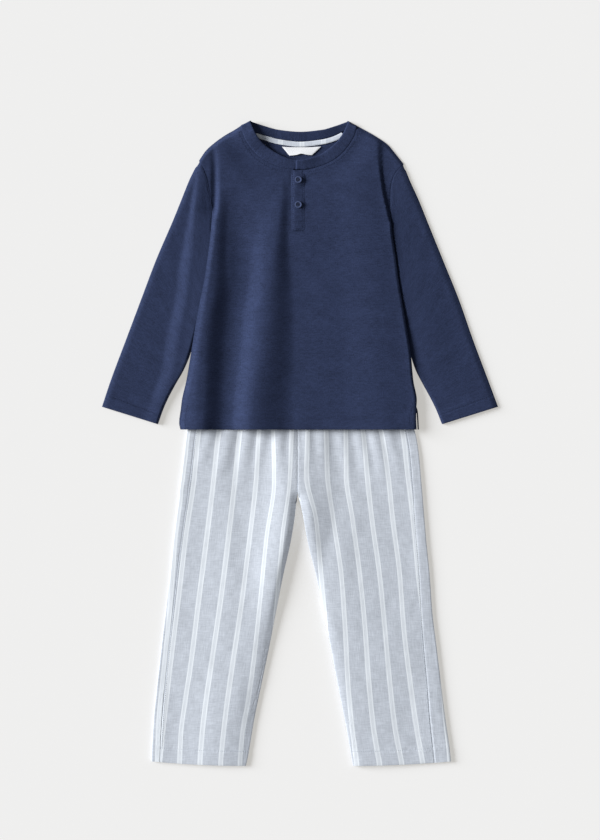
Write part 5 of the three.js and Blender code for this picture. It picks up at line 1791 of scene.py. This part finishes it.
def make_leg_back(side, settings, chambray):
    """Back of a leg: flat on the surface, round the outer edge and over to the side seam."""
    sign = side_sign(side)
    cell = 1.6 * settings.cell / MM
    rows = leg_rows(cell)
    outer = TROUSERS.at(side, rows)
    inner = TROUSERS.at(inner_column(side), rows) + sign * BACK_LEG_INSET * below_crotch(rows)
    inset = TROUSERS.at(seam_column(side), rows) - GAP * 0.3
    turn_x = outer - sign * EDGE_TURN
    top = trouser_skin(side, turn_x, rows)
    lying = np.full(len(rows), LYING_HEIGHT)
    flat = [(mix(inner, turn_x, t), lying) for t in np.linspace(0, 1, round(BACK_LEG_WIDTH / cell))]
    turn = []
    for degrees in np.linspace(-80, 80, 7):
        angle = math.radians(degrees)
        turn.append((turn_x + sign * EDGE_TURN * math.cos(angle), top * (1 + math.sin(angle)) / 2))
    over = []
    seam_x = outer - sign * inset
    for t in np.linspace(0, 1, 9):
        x = mix(turn_x, seam_x, t)
        over.append((x, trouser_skin(side, x, rows) - seam_drop(np.abs(x - seam_x), *SIDE_SEAM_DROP)))
    over.append((seam_x - sign * SEAM_TUCK, trouser_skin(side, seam_x, rows) - SEAM_TUCK_DROP))
    x, z = (np.array([path[axis] for path in flat + turn + over]) for axis in (0, 1))
    full = TROUSERS.at(inner_column(side), rows)
    y = slanted(rows[None], (x - outer) / (full - outer))
    steps = np.hypot(np.diff(x, axis=0), np.diff(z, axis=0))
    along = np.concatenate([np.zeros((1, len(rows))), np.cumsum(steps, axis=0)])
    from_edge = along - along[len(flat) + len(turn) // 2]
    cloth = np.stack([from_edge - BACK_STRIPES.at(side, rows), y], axis=-1)
    seams = distance_to_path(low_seam(side), x, y) + FAR_FROM_SEAM * (z < 1)
    hem = distance_to_path(leg_hem_line(side), x, y)
    points = np.stack([x, y, z], axis=-1)
    options = {"seams": np.minimum(seams, hem), "facing": None}
    cloth_piece("trouser_back_" + side, points, cloth, chambray, CHAMBRAY_CLOTH, **options)


def make_waistband(chambray):
    """Elastic waistband: a flattened loop with its gathers, hidden under the top."""
    span = np.linspace(-1, 1, 150)
    top_height = 2 * ELASTIC + GAP
    half = WAISTBAND_HALF_WIDTH
    across = np.concatenate([span, span[::-1][1:-1]]) * half
    is_top = np.arange(len(across)) < len(span)
    ys = WAISTBAND_TOP_Y - WAISTBAND_DEPTH * np.array(WAISTBAND_ROWS)
    x, y = np.meshgrid(across, ys, indexing="ij")
    rounding = rounded(half - np.abs(x), 3)
    ribs = 0.35 * np.sin(x * 1.1 + 0.4 * np.sin(y * 0.3))
    middle = top_height / 2
    z = mix(middle, np.where(is_top[:, None], top_height - 0.4 + ribs, LYING_HEIGHT), rounding)
    seams = np.min([np.abs(y - ys[row]) for row in WAISTBAND_STITCHED_ROWS], axis=0)
    points = np.stack([x, y, z], axis=-1)
    options = {"seams": seams, "closed": True, "facing": None}
    cloth_piece("trouser_waistband", points, points[..., :2], chambray, WAISTBAND_CLOTH, **options)


def trouser_stitch_runs():
    """Every run of stitches on the trousers."""
    runs = []
    for side in SIDES:
        beside = seam_line(side, 160)
        beside = beside[(beside[:, 1] < HEM_Y + 10) & (beside[:, 1] > TROUSER_HEM_Y)]
        beside[:, 0] -= side_sign(side) * BESIDE_SEAM
        sink = STITCH_SINKS["trousers"]
        for line in (leg_hem_line(side), beside):
            runs.append(stitches_along(line, lambda x, y, s=side: trouser_skin(s, x, y), sink))
    return runs


# Stage

def make_stage(settings):
    """Pale floor, a soft key light from the left, light from all round, and the camera straight above."""
    mesh = bpy.data.meshes.new("floor")
    ends = ((-1, -1), (1, -1), (1, 1), (-1, 1))
    corners = [(x * FLOOR_REACH, y * FLOOR_REACH, -FLOOR_DROP) for x, y in ends]
    mesh.from_pydata(corners, [], [(0, 1, 2, 3)])
    floor = bpy.data.objects.new("floor", mesh)
    bpy.context.scene.collection.objects.link(floor)
    mesh.materials.append(floor_material("floor_paper", tuple(settings.floor), tuple(settings.glow)))
    light = bpy.data.lights.new("key_light", "SUN")
    light.energy = settings.key_strength
    light.angle = KEY_SPREAD
    light.color = KEY_COLOR
    key = bpy.data.objects.new("key_light", light)
    key.rotation_euler = (0, -(math.pi / 2 - settings.key_height), KEY_TURN)
    bpy.context.scene.collection.objects.link(key)
    world = bpy.data.worlds.new("studio")
    bpy.context.scene.world = world
    world.use_nodes = True
    background = world.node_tree.nodes["Background"]
    background.inputs["Color"].default_value = SKY_COLOR
    background.inputs["Strength"].default_value = settings.sky_strength
    camera = bpy.data.cameras.new("camera")
    camera.sensor_width = SENSOR
    camera.lens = SENSOR * settings.camera_height / PICTURE_HEIGHT
    camera.clip_end = 50
    eye = bpy.data.objects.new("camera", camera)
    eye.location = (0, CAMERA_Y, settings.camera_height)
    bpy.context.scene.collection.objects.link(eye)
    bpy.context.scene.camera = eye
    bpy.context.scene.view_settings.view_transform = "Standard"


class PYJAMA_OT_top_body(bpy.types.Operator):
    """Builds the top's front and back"""

    bl_idname = "pyjama.top_body"
    bl_label = "Top's body"

    def execute(self, context):
        settings = context.scene.pyjama_top
        jersey = jersey_material("fine_jersey", tuple(settings.jersey))
        make_front(settings, jersey)
        make_back(settings, jersey)
        return {"FINISHED"}


class PYJAMA_OT_sleeves(bpy.types.Operator):
    """Builds both sleeves"""

    bl_idname = "pyjama.sleeves"
    bl_label = "Sleeves"

    def execute(self, context):
        settings = context.scene.pyjama_top
        for side in SIDES:
            make_sleeve(side, settings, bpy.data.materials["fine_jersey"])
        return {"FINISHED"}


class PYJAMA_OT_neck(bpy.types.Operator):
    """Builds the neckband, the tape and the label"""

    bl_idname = "pyjama.neck"
    bl_label = "Neck"

    def execute(self, context):
        settings = context.scene.pyjama_top
        trousers = context.scene.pyjama_trousers
        make_neckband(bpy.data.materials["fine_jersey"])
        stripe = tuple(trousers.stripe)
        tape = chambray_material("tape_cloth", shade(tuple(trousers.ground), 1.12), stripe, TAPE_REPEAT)
        make_tape(tape)
        make_label(satin_material("label_satin", tuple(settings.label)))
        return {"FINISHED"}


class PYJAMA_OT_placket(bpy.types.Operator):
    """Builds the placket, its buttons and the top's stitching"""

    bl_idname = "pyjama.placket"
    bl_label = "Placket and buttons"

    def execute(self, context):
        settings = context.scene.pyjama_top
        make_placket(bpy.data.materials["fine_jersey"])
        thread = thread_material("navy_thread", shade(tuple(settings.jersey), 1.05))
        make_buttons(button_material("button_plastic", tuple(settings.button)), thread)
        piece = stitching("top_stitching", top_stitch_runs(), thread)
        return {"FINISHED"}


class PYJAMA_OT_trousers(bpy.types.Operator):
    """Builds the trousers with their waistband and stitching"""

    bl_idname = "pyjama.trousers"
    bl_label = "Trousers"

    def execute(self, context):
        settings = context.scene.pyjama_trousers
        ground, stripe = tuple(settings.ground), tuple(settings.stripe)
        chambray = chambray_material("chambray", ground, stripe, settings.repeat)
        for side in SIDES:
            make_leg_back(side, settings, chambray)
            make_leg_front(side, settings, chambray)
        make_waistband(chambray)
        thread = thread_material("pale_thread", shade(ground, 0.98))
        piece = stitching("trouser_stitching", trouser_stitch_runs(), thread)
        return {"FINISHED"}


class PYJAMA_OT_stage(bpy.types.Operator):
    """Sets up the floor, the light and the camera"""

    bl_idname = "pyjama.stage"
    bl_label = "Stage"

    def execute(self, context):
        make_stage(context.scene.pyjama_stage)
        return {"FINISHED"}


class PYJAMA_PT_panel(bpy.types.Panel):
    """Lists the pieces and their settings"""

    bl_idname = "PYJAMA_PT_panel"
    bl_label = "Pyjama set"
    bl_space_type = "VIEW_3D"
    bl_region_type = "UI"
    bl_category = "Pyjama set"

    def draw(self, context):
        scene = context.scene
        for group in (scene.pyjama_top, scene.pyjama_trousers, scene.pyjama_stage):
            box = self.layout.box()
            for name in group.bl_rna.properties.keys():
                if name not in ("rna_type", "name"):
                    box.prop(group, name)
        for operator in OPERATORS:
            self.layout.operator(operator.bl_idname)


GROUPS = {
    "pyjama_top": TopSettings,
    "pyjama_trousers": TrouserSettings,
    "pyjama_stage": StageSettings,
}
OPERATORS = (
    PYJAMA_OT_trousers,
    PYJAMA_OT_top_body,
    PYJAMA_OT_sleeves,
    PYJAMA_OT_neck,
    PYJAMA_OT_placket,
    PYJAMA_OT_stage,
)


def register():
    """Registers the classes and the scene's settings."""
    for name, group in GROUPS.items():
        bpy.utils.register_class(group)
        setattr(bpy.types.Scene, name, bpy.props.PointerProperty(type=group))
    for kind in OPERATORS + (PYJAMA_PT_panel,):
        bpy.utils.register_class(kind)


def unregister():
    """Takes the classes and the scene's settings out again."""
    for kind in (PYJAMA_PT_panel,) + OPERATORS[::-1]:
        bpy.utils.unregister_class(kind)
    for name, group in reversed(GROUPS.items()):
        delattr(bpy.types.Scene, name)
        bpy.utils.unregister_class(group)


def main():
    """Builds every piece and the stage."""
    register()
    bpy.ops.pyjama.trousers()
    bpy.ops.pyjama.top_body()
    bpy.ops.pyjama.sleeves()
    bpy.ops.pyjama.neck()
    bpy.ops.pyjama.placket()
    bpy.ops.pyjama.stage()


if __name__ == "__main__":
    main()
